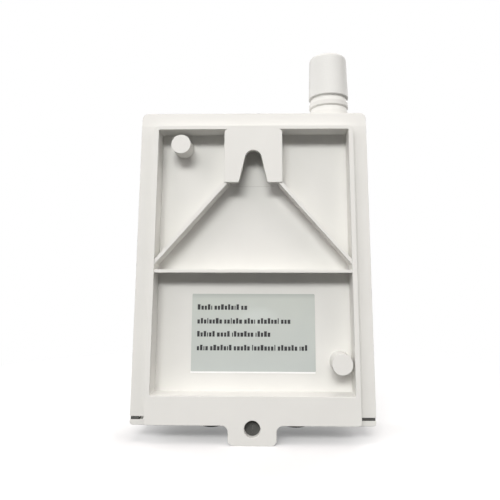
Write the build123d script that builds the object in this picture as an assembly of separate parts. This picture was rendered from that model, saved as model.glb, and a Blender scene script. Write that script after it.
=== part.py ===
from build123d import *
import math
import os

# A wall-mounted radio receiver in millimetres.
# The origin is the centre of the ear's screw hole, in the plane of the wall.
# +X is to the right of someone who looks at the back, +Y points away from the wall, +Z points up.

# Rear tray: the wall part, a shallow open recess with a flat band and an ear below it
tray_width = 66.0
tray_height = 94.0
tray_corner = 1.6
side_wall = 1.55
top_wall = 1.3
low_wall = 1.5
band_height = 8.4
band_thickness = 2.5
recess_depth = 7.0
recess_corner = 0.5
floor_thickness = 1.8

# Ear under the band, with the lower wall-screw hole
ear_width = 14.7
ear_drop = 5.7
ear_corner = 1.8
hole_radius = 2.5
hole_below_band = 1.0
driver_channel_radius = 4.5
driver_channel_wall = 1.5

# Hook box at the top of the recess, which hangs on the upper wall screw
hook_width = 19.1
hook_height = 17.9
hook_plate = 2.0
hook_wall = 1.3
hook_corner = 1.2
arch_radius = 2.75
arch_below_recess_top = 7.1
notch_mouth = 9.4
notch_lip_radius = 0.7

# Ribs on the recess floor
rib_thickness = 1.0
rib_below_recess_top = 47.1
rib_set_back = 0.3
brace_thickness = 1.1
brace_above_rib = 2.0
brace_sunk = 0.4

# Screw bosses in the recess, measured from the nearest recess walls
boss_radius = 3.2
upper_boss_from_side = 7.5
upper_boss_from_top = 5.0
lower_boss_from_side = 3.8
lower_boss_from_bottom = 9.4
boss_bore_radius = 1.5
boss_end_skin = 1.8

# End wall at the bottom, as wide as the cover
end_thickness = 1.5
end_step = 0.5
end_corner = 0.9
slot_height = 0.95
key_width = 1.9
key_height = 0.7
key_depth = 6.0
key_set_back = 1.6
groove_lip = 0.7
groove_floor = 0.6

# Front cover
flange_width = 4.7
cover_over_tray = 5.0
flange_step = 2.2
housing_depth = 32.0
cover_wall = 2.0
front_wall = 2.0
lip_thickness = 2.0
cover_corner = 1.9
top_rim_drop = 0.4
front_edge_radius = 1.6
part_gap = 0.3
panel_width = 52.0
panel_height = 30.0
panel_depth = 0.4
panel_corner = 3.0
panel_below_button = 11.0
pillar_wall = 1.2

# Cover screws
screw_radius = 1.45
screw_length = 12.5
screw_head_radius = 2.8
screw_head_height = 2.0
screw_hole_radius = 1.7
screw_seat_above_floor = 6.5
head_play = 0.3
cross_width = 0.9
cross_depth = 1.2
cross_arm_share = 1.6

# Cable grommets in the end wall
grommet_spacing = 27.4
grommet_depth = 15.0
grommet_radius = 4.5
grommet_neck_radius = 3.6
grommet_bore_radius = 2.25
grommet_drop = 3.1
grommet_inner_flange = 1.4
grommet_edge = 0.8

# Rating label on the recess floor
label_width = 40.0
label_height = 24.4
label_thickness = 0.15
label_above_recess_low = 6.0
label_corner = 0.4

# Circuit board and its standoffs
board_width = 60.0
board_thickness = 1.6
board_above_band = 11.0
board_below_pillar = 0.5
board_notch_gap = 0.8
board_corner = 1.0
standoff_height = 3.0
standoff_radius = 2.75
standoff_from_edge = 3.6
standoff_below_clip = 8.0
pilot_radius = 1.1
pilot_depth = 3.0
board_hole_radius = 1.3
board_screw_radius = 1.05
board_screw_length = 4.4
board_screw_head_radius = 2.2
board_screw_head_height = 1.4
board_cross_width = 0.6
board_cross_depth = 0.9

# Terminal blocks
terminal_pitch = 5.0
terminal_end = 0.3
terminal_length = 8.0
terminal_height = 10.0
terminal_chamfer = 1.6
supply_ways = 2
relay_ways = 3
relay_terminal_x = 12.8
wire_hole_radius = 1.6
wire_hole_above_board = 3.2
cage_width = 3.8
cage_height = 5.4
cage_length = 4.0
cage_wall = 0.6
cage_play = 0.05
terminal_screw_radius = 1.2
terminal_screw_play = 0.05
terminal_head_radius = 1.75
terminal_head_height = 1.6
terminal_head_play = 0.1
terminal_head_gap = 0.3
terminal_slot_width = 0.5
terminal_slot_depth = 0.8

# Relay
relay_width = 15.6
relay_length = 19.2
relay_front_gap = 1.2
relay_case_wall = 0.8
relay_above_terminal = 4.0
relay_base_thickness = 1.4
relay_base_play = 0.05
relay_coil_radius = 4.0
relay_bobbin_radius = 5.0
relay_bobbin_flange = 0.8
relay_core_radius = 2.0
relay_core_proud = 0.5
relay_yoke_from_wall = 1.0
relay_yoke_thickness = 1.2
relay_yoke_width = 9.0
relay_armature_thickness = 0.9
relay_armature_gap = 0.6
relay_inner_gap = 2.6
relay_contact_gap = 0.75
relay_contact_width = 3.0
relay_contact_length = 1.6
relay_contact_from_end = 2.4

# Receiver module on its pin strip
module_width = 14.0
module_height = 30.0
module_thickness = 1.0
module_strip_height = 2.5
module_strip_width = 2.5
module_from_board_side = 3.0
module_from_board_top = 7.4
pad_from_module_side = 2.0
pad_from_module_top = 1.0
pad_height = 5.0
module_chip_up = 16.5
crystal_length = 10.0
crystal_width = 4.2
crystal_height = 3.4
crystal_rim = 0.5
crystal_end_share = 0.48
crystal_up = 5.0
coil_can_side = 5.0
coil_can_height = 4.6
coil_can_from_top = 1.5
coil_slug_radius = 1.3
coil_slug_depth = 1.0
coil_slug_play = 0.05
coil_slug_sunk = 0.2
coil_slug_slot = 0.5

# Chips
chip_leg_pitch = 1.27
chip_leg_width = 0.45
chip_leg_thickness = 0.25
chip_leg_reach = 1.0
chip_leg_sunk = 0.1
chip_lift = 0.1
microcontroller_size = (12.8, 7.5, 2.4)
microcontroller_legs = 9
memory_chip_size = (5.4, 3.9, 1.6)
memory_chip_legs = 4
receiver_chip_size = (9.9, 3.9, 1.6)
receiver_chip_legs = 7

# Pieces on wire leads
lead_radius = 0.35
lead_bend = 0.8
end_round_share = 0.3
smoothing_capacitor_radius = 5.0
smoothing_capacitor_height = 13.0
filter_capacitor_radius = 2.5
filter_capacitor_height = 11.0
can_rim_radius = 0.6
can_groove_up = 1.8
can_groove_width = 0.6
can_groove_depth = 0.35
diode_radius = 1.35
diode_length = 5.2
diode_span = 8.9
diode_lift = 1.7
diode_pitch = 3.8
diode_count = 4
resistor_radius = 1.0
resistor_length = 4.6
resistor_span = 7.3
resistor_lift = 1.3
resistor_pitch = 3.4
resistor_count = 4
varistor_radius = 4.5
varistor_thickness = 3.6
varistor_lift = 1.0
disc_radius = 2.0
disc_thickness = 1.6
disc_lift = 0.8
disc_pitch = 3.6
disc_count = 2
regulator_width = 10.0
regulator_depth = 4.4
regulator_leg_height = 2.5
regulator_body_height = 7.5
regulator_front_gap = 1.4
regulator_tab_thickness = 1.3
regulator_hole_share = 0.35
regulator_leg_width = 0.8
regulator_leg_thickness = 0.6
transistor_radius = 2.4
transistor_flat = 1.2
transistor_leg_height = 2.0
transistor_body_height = 4.8
transistor_leg_pitch = 1.27
transistor_leg_radius = 0.25

# Fuse, push switch, lamp and jumper
fuse_radius = 2.6
fuse_length = 20.0
fuse_cap_length = 5.0
fuse_lift = 1.4
clip_thickness = 0.4
clip_width = 4.0
clip_grip = 0.6
clip_seat_width = 2.0
fuse_cap_thickness = 0.35
fuse_play = 0.05
switch_side = 6.0
switch_height = 3.5
plunger_radius = 1.7
plunger_play = 0.08
plunger_height = 5.0
plunger_foot = 1.2
press_travel = 0.5
led_radius = 1.5
led_height = 5.3
led_rim = 0.4
led_rim_height = 1.0
led_dome_share = 0.9
header_pitch = 2.54
header_pin = 0.64
header_pin_height = 6.0
header_ways = 3
cap_height = 5.2
cap_play = 0.06
cap_above_base = 0.3
cap_side_gap = 0.1

# Learn button and light pipe in the front cover
button_radius = 3.5
button_play = 0.1
button_flange_radius = 4.6
button_flange_thickness = 1.0
button_proud = 0.9
button_edge = 0.5
stem_radius = 1.9
stem_gap = 0.1
button_x = -4.0
button_below_board_top = 12.0
flange_gap = 0.05
led_from_button = 13.0
pipe_radius = 1.6
pipe_flange_radius = 2.5
pipe_flange_thickness = 0.9
pipe_proud = 0.4
pipe_above_led = 0.3

# Antenna stub on the cover's top wall
antenna_from_side = 11.1
antenna_depth = 12.5
neck_height = 4.4
neck_foot_radius = 7.0
neck_shoulder_radius = 6.85
neck_shoulder_height = 2.7
neck_top_radius = 6.4
collar_height = 3.4
collar_ring_radius = 6.9
collar_ring_height = 1.9
collar_top_radius = 6.5
collar_floor = 1.8
collar_edge = 0.4
collar_top_edge = 0.2
spigot_radius = 5.2
spigot_height = 6.0
spigot_bore_radius = 4.0
cap_gap = 0.4
cap_foot_radius = 7.05
cap_top_radius = 6.6
cap_length = 15.6
cap_round = 1.2
cap_wall = 1.5
cap_fit = 0.05
cap_foot_edge = 0.3
cap_bore_slope = 1.2
helix_radius = 2.9
helix_wire_radius = 0.4
helix_pitch = 2.2
helix_turns = 5
coil_samples = 200
pin_radius = 1.0
pin_play = 0.05
pin_head_radius = 3.3
pin_head_height = 0.6
pin_below_top_wall = 10.5
leaf_thickness = 0.3
leaf_width = 3.0
leaf_rise = 5.0
leaf_pad_length = 4.0
leaf_gap = 0.3

# How far a cutting shape runs past the face that it opens, and a joined one into its neighbour
past = 1.0
overlap = 0.1

# Places on the board, as X from its left edge and Z from its lower edge
places = {
    "fuse": (14.0, 14.5),
    "smoothing_capacitor": (6.0, 24.5),
    "filter_capacitor": (26.0, 30.0),
    "surge_varistor": (27.0, 21.0),
    "lowest_diode": (16.5, 20.5),
    "lowest_resistor": (55.4, 22.0),
    "lowest_disc": (26.5, 42.0),
    "voltage_regulator": (23.0, 36.5),
    "driver_transistor": (55.5, 36.8),
    "microcontroller": (42.0, 44.2),
    "memory_chip": (54.0, 45.0),
    "jumper": (53.0, 51.0),
}

# Planes and edges that follow from the sizes
z_band = hole_below_band
z_tray_top = z_band + tray_height
z_recess_low = z_band + band_height
z_recess_top = z_tray_top - top_wall
x_tray = tray_width / 2
x_recess = x_tray - side_wall
y_floor = recess_depth
y_floor_front = recess_depth + floor_thickness
z_end_low = z_band - end_step
z_end_top = z_end_low + end_thickness
z_slot_top = z_end_top + slot_height
x_cover = x_tray + flange_width
antenna_x = x_cover - antenna_from_side
z_cover_top = z_tray_top + cover_over_tray
y_cover_inner = housing_depth - front_wall
y_board = y_floor_front + standoff_height
y_board_front = y_board + board_thickness
x_board = board_width / 2
z_board_low = z_band + board_above_band
z_hook_low = z_recess_top - hook_height
z_rib = z_recess_top - rib_below_recess_top
upper_boss = (-x_recess + upper_boss_from_side, z_recess_top - upper_boss_from_top)
lower_boss = (x_recess - lower_boss_from_side, z_recess_low + lower_boss_from_bottom)
y_screw_seat = y_floor_front + screw_seat_above_floor
pillar_radius = screw_head_radius + head_play + pillar_wall
z_board_top = upper_boss[1] - pillar_radius - board_below_pillar
x_grommet = grommet_spacing / 2
z_terminal_top = z_board_low + terminal_length
z_relay_low = z_terminal_top + relay_above_terminal
button_z = z_board_top - button_below_board_top
y_plunger_top = y_board_front + plunger_height
y_led_top = y_board_front + led_height
relay_height = y_cover_inner - relay_front_gap - y_board_front
relay_stack = relay_base_thickness + relay_core_proud + relay_armature_gap + relay_armature_thickness
relay_coil_height = relay_height - relay_case_wall - relay_stack - relay_inner_gap


def block(x, y, z):
    """A box between two limits on each axis."""
    return Pos(sum(x) / 2, sum(y) / 2, sum(z) / 2) * Box(x[1] - x[0], y[1] - y[0], z[1] - z[0])


def rod(radius, start, end):
    """A round bar from one point to another."""
    line = Vector(*end) - Vector(*start)
    place = Plane(origin=start, z_dir=line)
    return place * Cylinder(radius, line.length, align=(Align.CENTER, Align.CENTER, Align.MIN))


def rod_y(radius, x, z, y_from, y_to):
    """A round bar square to the wall."""
    return rod(radius, (x, y_from, z), (x, y_to, z))


def rod_z(radius, x, y, z_from, z_to):
    """An upright round bar."""
    return rod(radius, (x, y, z_from), (x, y, z_to))


def rounded_block(x, y, z, radius):
    """A box whose edges square to the wall are rounded."""
    shape = block(x, y, z)
    return fillet(shape.edges().filter_by(Axis.Y), radius)


def prism(points, y_from, y_to):
    """An outline in X and Z, drawn out away from the wall."""
    outline = make_face(Polyline([(x, y_from, z) for x, z in points], close=True))
    return extrude(outline, amount=y_to - y_from, dir=(0, 1, 0))


def turned(points, x, y, z):
    """A profile of radius and height, turned about an upright axis."""
    outline = make_face(Polyline([(r, 0, h) for r, h in points], close=True))
    return Pos(x, y, z) * revolve(outline, axis=Axis.Z)


def edges_at(shape, axis, places, reach=0.05):
    """The edges along an axis that pass through the given X and Z places."""
    found = ShapeList()
    for edge in shape.edges().filter_by(axis):
        middle = edge.center()
        for x, z in places:
            if abs(middle.X - x) < reach and abs(middle.Z - z) < reach:
                found.append(edge)
    return found


def notch_outline():
    """The arched notch of the hook plate: slanted sides that run into a round top."""
    centre_z = z_recess_top - arch_below_recess_top - arch_radius
    mouth_x = notch_mouth / 2
    reach = math.hypot(mouth_x, z_hook_low - centre_z)
    slope = math.atan2(z_hook_low - centre_z, mouth_x)
    touch = slope + math.acos(arch_radius / reach)
    touch_x = arch_radius * math.cos(touch)
    touch_z = centre_z + arch_radius * math.sin(touch)
    side = [(mouth_x, z_hook_low), (touch_x, touch_z)]
    return side + [(-x, z) for x, z in reversed(side)], centre_z


def hook_box():
    """The box that carries the hook plate, open downwards behind it."""
    x_hook = hook_width / 2
    shape = block((-x_hook, x_hook), (0, y_floor), (z_hook_low, z_recess_top))
    top_edges = edges_at(shape, Axis.Y, [(-x_hook, z_recess_top), (x_hook, z_recess_top)])
    shape = fillet(top_edges, hook_corner)
    inner = x_hook - hook_wall
    shape -= block((-inner, inner), (hook_plate, y_floor), (z_hook_low - past, z_recess_top - hook_wall))
    points, centre_z = notch_outline()
    shape -= prism(points, -past, hook_plate + overlap)
    shape -= rod_y(arch_radius, 0, centre_z, -past, hook_plate + overlap)
    lips = edges_at(shape, Axis.Y, [(-notch_mouth / 2, z_hook_low), (notch_mouth / 2, z_hook_low)])
    return fillet(lips, notch_lip_radius)


def braces():
    """The two slanted ribs from the hook box to the side walls."""
    x_start = hook_width / 2 - hook_wall / 2
    z_start = z_hook_low
    x_end = x_recess + brace_sunk
    z_end = z_rib + rib_thickness + brace_above_rib
    length = math.hypot(x_end - x_start, z_start - z_end)
    across_x = brace_thickness / 2 * (z_start - z_end) / length
    across_z = brace_thickness / 2 * (x_end - x_start) / length
    right = [
        (x_start - across_x, z_start - across_z),
        (x_start + across_x, z_start + across_z),
        (x_end + across_x, z_end + across_z),
        (x_end - across_x, z_end - across_z),
    ]
    left = [(-x, z) for x, z in right]
    return [prism(points, rib_set_back, y_floor + overlap) for points in (right, left)]


def ear():
    """The ear under the band, with round corners and round roots."""
    x_ear = ear_width / 2
    z_low = z_band - ear_drop
    shape = block((-x_ear, x_ear), (0, band_thickness), (z_low, z_band + overlap))
    shape = fillet(edges_at(shape, Axis.Y, [(-x_ear, z_low), (x_ear, z_low)]), ear_corner)
    for side in (-1, 1):
        x_root = sorted((side * x_ear, side * (x_ear + ear_corner)))
        root = block(x_root, (0, band_thickness), (z_band - ear_corner, z_band + overlap))
        centre_x = side * (x_ear + ear_corner)
        root -= rod_y(ear_corner, centre_x, z_band - ear_corner, -past, band_thickness + past)
        shape += root
    return shape


def board_notch():
    """The board's cut corner round the lower cover pillar: its left edge and its top."""
    room = pillar_radius + board_notch_gap
    return lower_boss[0] - room, lower_boss[1] + room


def board_corners():
    """X and Z of the board's four standoffs."""
    x = x_board - standoff_from_edge
    low = z_board_low + standoff_from_edge
    high = z_board_top - standoff_from_edge
    right_low = board_notch()[1] + standoff_from_edge
    return [(-x, low), (x, right_low), (-x, high), (x, high - standoff_below_clip)]


def on_board(name):
    """X and Z of a named place on the board."""
    across, up = places[name]
    return across - x_board, up + z_board_low


def end_grooves(y_end):
    """The two grooves in the end wall beside the tray, which shade the lower slots."""
    outer = x_cover - groove_lip
    depth = (flange_step + groove_lip, y_end - groove_lip)
    height = (z_end_low + groove_floor, z_end_top + past)
    return [block(span, depth, height) for span in ((-outer, -x_tray), (x_tray, outer))]


def rear_tray():
    """The wall part: recess, hook box, ribs, bosses, band, ear and end wall in one moulding."""
    tray = block((-x_tray, x_tray), (0, y_floor_front), (z_band, z_tray_top))
    corners = [(x, z) for x in (-x_tray, x_tray) for z in (z_band, z_tray_top)]
    tray = fillet(edges_at(tray, Axis.Y, corners[1::2]), tray_corner)
    tray = fillet(edges_at(tray, Axis.Y, corners[0::2]), end_corner)
    tray -= rounded_block(
        (-x_recess, x_recess), (-past, y_floor), (z_recess_low, z_recess_top), recess_corner
    )
    behind_band = (band_thickness, y_floor_front + past)
    tray -= block((-x_recess, x_recess), behind_band, (z_end_top, z_recess_low - low_wall))
    tray += hook_box()
    for brace in braces():
        tray += brace
    tray += block((-x_recess, x_recess), (rib_set_back, y_floor), (z_rib, z_rib + rib_thickness))
    y_end = y_cover_inner - part_gap
    end = block((-x_cover, x_cover), (flange_step, y_end), (z_end_low, z_end_top))
    low_corners = edges_at(end, Axis.Y, [(-x_cover, z_end_low), (x_cover, z_end_low)])
    tray += fillet(low_corners, end_corner)
    for groove in end_grooves(y_end):
        tray -= groove
    tray += block(
        (-x_tray - key_width, -x_tray + overlap),
        (flange_step + key_set_back, flange_step + key_depth),
        (z_end_low + overlap, z_end_top + key_height),
    )
    tray += ear()
    channel = rod_y(driver_channel_radius + driver_channel_wall, 0, 0, band_thickness, y_end)
    room = driver_channel_radius + driver_channel_wall + past
    tray += channel & block((-room, room), (0, y_end), (z_end_low, room))
    tray -= rod_y(driver_channel_radius, 0, 0, band_thickness, y_end + past)
    tray -= rod_y(hole_radius, 0, 0, -past, band_thickness + past)
    for x, z in (upper_boss, lower_boss):
        tray += rod_y(boss_radius, x, z, 0, y_floor)
        tray -= rod_y(boss_bore_radius, x, z, boss_end_skin, y_floor_front + past)
    for x, z in board_corners():
        tray += rod_y(standoff_radius, x, z, y_floor_front, y_board)
        tray -= rod_y(pilot_radius, x, z, y_board - pilot_depth, y_board + past)
    for x in (-x_grommet, x_grommet):
        tray -= rod_z(grommet_neck_radius, x, grommet_depth, z_end_low - past, z_end_top + past)
    return tray


def rating_label():
    """The thin foil label on the recess floor."""
    low = z_recess_low + label_above_recess_low
    half = label_width / 2
    depth = (y_floor - label_thickness, y_floor)
    return rounded_block((-half, half), depth, (low, low + label_height), label_corner)


def cable_grommet(x):
    """A rubber bush that grips the end wall, with its cable bore."""
    z_low = z_end_low - grommet_drop
    shape = rod_z(grommet_radius, x, grommet_depth, z_low, z_end_low)
    shape = fillet(shape.edges().group_by(Axis.Z)[0], grommet_edge)
    shape += rod_z(grommet_neck_radius, x, grommet_depth, z_end_low, z_end_top)
    z_high = z_end_top + grommet_inner_flange
    shape += rod_z(grommet_radius, x, grommet_depth, z_end_top, z_high)
    return shape - rod_z(grommet_bore_radius, x, grommet_depth, z_low - past, z_high + past)


def circuit_board():
    """The main board, cut away round the lower cover pillar."""
    board = rounded_block(
        (-x_board, x_board), (y_board, y_board_front), (z_board_low, z_board_top), board_corner
    )
    notch_left, notch_top = board_notch()
    through = (y_board - past, y_board_front + past)
    board -= block((notch_left, x_board + past), through, (z_board_low - past, notch_top))
    for x, z in board_corners():
        board -= rod_y(board_hole_radius, x, z, *through)
    return board


def board_screws():
    """The four small screws that hold the board on its standoffs."""
    screws = []
    for x, z in board_corners():
        y_top = y_board_front + board_screw_head_height
        screw = rod_y(board_screw_radius, x, z, y_board_front - board_screw_length, y_board_front)
        head = rod_y(board_screw_head_radius, x, z, y_board_front, y_top)
        head = fillet(head.edges().group_by(Axis.Y)[-1], board_screw_head_height / 2)
        screws.append(cross_recess(screw + head, x, z, y_top, board_cross_width, board_cross_depth))
    return screws


def cross_recess(screw, x, z, y_top, width, depth):
    """A screw with a cross cut into its head."""
    arm = width * cross_arm_share
    cut = (y_top - depth, y_top + past)
    screw -= block((x - arm, x + arm), cut, (z - width / 2, z + width / 2))
    return screw - block((x - width / 2, x + width / 2), cut, (z - arm, z + arm))


def way_places(x_centre, ways):
    """X of each wire position of a terminal block."""
    first = x_centre - terminal_pitch * (ways - 1) / 2
    return [first + terminal_pitch * i for i in range(ways)]


def cage_span(x):
    """Limits of the metal cage of one wire position."""
    y_low = y_board_front + wire_hole_above_board - wire_hole_radius - cage_wall
    z_low = z_board_low + (terminal_length - cage_length) / 2
    sides = (x - cage_width / 2, x + cage_width / 2)
    return sides, (y_low, y_low + cage_height), (z_low, z_low + cage_length)


def grown(span, play):
    """Pairs of limits, all moved outwards."""
    return [(low - play, high + play) for low, high in span]


def terminal_block(x_centre, ways):
    """A screw terminal with wire mouths in its lower end and screw wells in its front."""
    half = terminal_pitch * ways / 2 + terminal_end
    sides = (x_centre - half, x_centre + half)
    y_top = y_board_front + terminal_height
    body = block(sides, (y_board_front, y_top), (z_board_low, z_terminal_top))
    front_low = body.edges().filter_by(Axis.X).group_by(Axis.Y)[-1].group_by(Axis.Z)[0]
    body = chamfer(front_low, terminal_chamfer)
    for x in way_places(x_centre, ways):
        span = cage_span(x)
        z_middle = sum(span[2]) / 2
        well = terminal_head_radius + terminal_head_play
        body -= block(*grown(span, cage_play))
        body -= rod_y(well, x, z_middle, span[1][1], y_top + past)
        wire_y = y_board_front + wire_hole_above_board
        body -= rod_z(wire_hole_radius, x, wire_y, z_board_low - past, span[2][1])
    return body


def terminal_cages(x_centre, ways):
    """The metal cages that the wires go into, one for each position."""
    cages = []
    for x in way_places(x_centre, ways):
        span = cage_span(x)
        z_middle = sum(span[2]) / 2
        cage = block(*span)
        inside = [
            (span[0][0] + cage_wall, span[0][1] - cage_wall),
            (span[1][0] + cage_wall, span[1][1] - 2 * cage_wall),
            (span[2][0] - past, span[2][1] + past),
        ]
        cage -= block(*inside)
        bore = terminal_screw_radius + terminal_screw_play
        cage -= rod_y(bore, x, z_middle, span[1][1] - 3 * cage_wall, span[1][1] + past)
        cages.append(cage)
    return cages


def terminal_screw(x):
    """A slotted clamp screw in a terminal's well."""
    span = cage_span(x)
    z = sum(span[2]) / 2
    y_seat = span[1][1] + terminal_head_gap
    screw = rod_y(terminal_screw_radius, x, z, span[1][1] - 2 * cage_wall, y_seat)
    screw += rod_y(terminal_head_radius, x, z, y_seat, y_seat + terminal_head_height)
    y_top = y_seat + terminal_head_height
    slot = terminal_slot_width / 2
    reach = terminal_head_radius + past
    cut = (y_top - terminal_slot_depth, y_top + past)
    return screw - block((x - reach, x + reach), cut, (z - slot, z + slot))


def relay_span():
    """Limits of the relay's case."""
    half = relay_width / 2
    return (
        (relay_terminal_x - half, relay_terminal_x + half),
        (y_board_front, y_board_front + relay_height),
        (z_relay_low, z_relay_low + relay_length),
    )


def relay_case():
    """The relay's box, open towards the board."""
    x, y, z = relay_span()
    case = block(x, y, z)
    top = case.faces().sort_by(Axis.Y)[-1]
    case = fillet(top.edges(), relay_case_wall)
    wall = relay_case_wall
    room = (y[0] - past, y[1] - wall)
    return case - block((x[0] + wall, x[1] - wall), room, (z[0] + wall, z[1] - wall))


def relay_middle():
    """X and Z of the relay's coil, and the height of the yoke's end above the board."""
    x, _, z = relay_span()
    yoke_z = z[0] + relay_case_wall + relay_yoke_from_wall
    coil_z = yoke_z + relay_yoke_thickness + relay_bobbin_radius + part_gap
    return sum(x) / 2, coil_z, yoke_z


def relay_heights():
    """Y of the relay's coil foot, of its core's end and of the armature's lower face."""
    foot = y_board_front + relay_base_thickness
    core = foot + relay_coil_height + relay_core_proud
    return foot, core, core + relay_armature_gap


def relay_frame():
    """The relay's base with the yoke that carries the armature and the post of the fixed contact."""
    x, y, z = relay_span()
    inset = relay_case_wall + relay_base_play
    foot, _, y_armature = relay_heights()
    frame = block((x[0] + inset, x[1] - inset), (y[0], foot), (z[0] + inset, z[1] - inset))
    x_mid, _, yoke_z = relay_middle()
    half = relay_yoke_width / 2
    yoke = (yoke_z, yoke_z + relay_yoke_thickness)
    frame += block((x_mid - half, x_mid + half), (foot, y_armature - part_gap), yoke)
    half = relay_contact_width / 2
    post = (foot, y_armature - relay_contact_gap)
    return frame + block((x_mid - half, x_mid + half), post, relay_contact_span())


def relay_contact_span():
    """Z limits of the fixed contact, near the relay's far end."""
    _, _, z = relay_span()
    high = z[1] - relay_case_wall - relay_contact_from_end
    return high - relay_contact_length, high


def relay_coil():
    """The relay's bobbin, winding and core."""
    x_mid, coil_z, _ = relay_middle()
    foot, core, _ = relay_heights()
    top = foot + relay_coil_height
    coil = rod_y(relay_coil_radius, x_mid, coil_z, foot, top)
    coil += rod_y(relay_bobbin_radius, x_mid, coil_z, foot, foot + relay_bobbin_flange)
    coil += rod_y(relay_bobbin_radius, x_mid, coil_z, top - relay_bobbin_flange, top)
    return coil + rod_y(relay_core_radius, x_mid, coil_z, top, core)


def relay_armature():
    """The flat armature over the coil, which rocks on the yoke's end."""
    x_mid, _, yoke_z = relay_middle()
    _, _, y_low = relay_heights()
    half = relay_yoke_width / 2 - part_gap
    z_far = relay_contact_span()[1]
    depth = (y_low, y_low + relay_armature_thickness)
    return block((x_mid - half, x_mid + half), depth, (yoke_z, z_far))


def chip(place, size, legs, y_foot=y_board_front):
    """A chip with bent legs along both long sides, which run up the board."""
    x, z = place
    length, width, height = size
    y_low = y_foot + chip_lift
    y_mid = y_low + height / 2
    thick = chip_leg_thickness
    sides = (x - width / 2, x + width / 2)
    body = block(sides, (y_low, y_low + height), (z - length / 2, z + length / 2))
    for i in range(legs):
        leg_z = z + chip_leg_pitch * (i - (legs - 1) / 2)
        z_span = (leg_z - chip_leg_width / 2, leg_z + chip_leg_width / 2)
        for side in (-1, 1):
            inner = x + side * (width / 2 - chip_leg_sunk)
            outer = x + side * (width + chip_leg_reach) / 2
            toe = x + side * (width / 2 + chip_leg_reach)
            body += block(sorted((inner, outer)), (y_mid - thick / 2, y_mid + thick / 2), z_span)
            body += block(sorted((outer - side * thick, outer)), (y_foot, y_mid + thick / 2), z_span)
            body += block(sorted((outer - side * thick, toe)), (y_foot, y_foot + thick), z_span)
    return body


def radial_can(place, radius, height):
    """An upright can with a rolled top edge and a groove near its foot."""
    x, z = place
    can = rod_y(radius, x, z, y_board_front, y_board_front + height)
    can = fillet(can.edges().group_by(Axis.Y)[-1], can_rim_radius)
    low = y_board_front + can_groove_up
    groove = (low, low + can_groove_width)
    return can - (rod_y(radius + past, x, z, *groove) - rod_y(radius - can_groove_depth, x, z, *groove))


def axial_piece(x, z, radius, length, span, lift):
    """A small round body that lies along X on two bent leads."""
    y = y_board_front + lift
    body = rod(radius, (x - length / 2, y, z), (x + length / 2, y, z))
    body = fillet(body.edges(), radius * end_round_share)
    left = x - span / 2
    right = x + span / 2
    corners = [(left, y_board_front, z), (left, y, z), (right, y, z), (right, y_board_front, z)]
    section = Plane(origin=corners[0], z_dir=(0, 1, 0)) * Circle(lead_radius)
    return body + sweep(section, path=FilletPolyline(*corners, radius=lead_bend))


def disc_piece(x, z, radius, thickness, lift):
    """A flat round body that stands on two leads, square to the board."""
    y = y_board_front + lift + radius
    body = rod(radius, (x, y, z - thickness / 2), (x, y, z + thickness / 2))
    body = fillet(body.edges(), thickness * end_round_share)
    for side in (-1, 1):
        body += rod_y(lead_radius, x + side * radius / 2, z, y_board_front, y)
    return body


def fuse_axis():
    """The middle of the fuse."""
    x, z = on_board("fuse")
    return x, y_board_front + fuse_lift + fuse_radius, z


def fuse_clips():
    """The two spring clips that hold the fuse, each a bent strip with a seat."""
    x, y_axis, z = fuse_axis()
    inner = fuse_radius + fuse_play
    outer = inner + clip_thickness
    clips = []
    for side in (-1, 1):
        middle = x + side * (fuse_length - fuse_cap_length) / 2
        span = (middle - clip_width / 2, middle + clip_width / 2)
        clip = block(span, (y_board_front, y_axis + fuse_radius * clip_grip), (z - outer, z + outer))
        room = (span[0] - past, span[1] + past)
        clip -= block(room, (y_board_front + clip_thickness, y_axis + outer), (z - inner, z + inner))
        seat = (y_board_front, y_axis - inner)
        clips.append(clip + block(span, seat, (z - clip_seat_width / 2, z + clip_seat_width / 2)))
    return clips


def fuse_link():
    """The glass fuse with its two metal caps."""
    x, y, z = fuse_axis()
    half = fuse_length / 2
    link = rod(fuse_radius - fuse_cap_thickness, (x - half, y, z), (x + half, y, z))
    for side in (-1, 1):
        inner = x + side * (half - fuse_cap_length)
        link += rod(fuse_radius, (inner, y, z), (x + side * half, y, z))
    return link


def voltage_regulator():
    """An upright regulator with its drilled metal tab and three legs."""
    x, z = on_board("voltage_regulator")
    half = regulator_width / 2
    back = z + regulator_depth / 2
    body_low = y_board_front + regulator_leg_height
    body_top = body_low + regulator_body_height
    tab_top = y_cover_inner - regulator_front_gap
    body = block((x - half, x + half), (body_low, body_top), (z - regulator_depth / 2, back))
    tab = block((x - half, x + half), (body_top, tab_top), (back - regulator_tab_thickness, back))
    y_hole = (body_top + tab_top) / 2
    hole = regulator_hole_share * (tab_top - body_top)
    body += tab - rod(hole, (x, y_hole, z), (x, y_hole, back + past))
    for i in (-1, 0, 1):
        leg_x = x + i * header_pitch
        leg = (leg_x - regulator_leg_width / 2, leg_x + regulator_leg_width / 2)
        depth = (z - regulator_leg_thickness / 2, z + regulator_leg_thickness / 2)
        body += block(leg, (y_board_front, body_low + overlap), depth)
    return body


def driver_transistor():
    """A small half-round transistor on three legs."""
    x, z = on_board("driver_transistor")
    low = y_board_front + transistor_leg_height
    top = low + transistor_body_height
    body = rod_y(transistor_radius, x, z, low, top)
    reach = transistor_radius + past
    body -= block((x - reach, x + reach), (low - past, top + past), (z + transistor_flat, z + reach))
    for i in (-1, 0, 1):
        leg_x = x + i * transistor_leg_pitch
        body += rod_y(transistor_leg_radius, leg_x, z, y_board_front, low + overlap)
    return body


def module_span():
    """Limits of the small receiver board."""
    left = -x_board + module_from_board_side
    top = z_board_top - module_from_board_top
    y_low = y_board_front + module_strip_height
    return (left, left + module_width), (y_low, y_low + module_thickness), (top - module_height, top)


def module_strip():
    """The pin strip between the two boards, at the module's lower end."""
    x, y, z = module_span()
    return block(x, (y_board_front, y[0]), (z[0], z[0] + module_strip_width))


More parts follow.
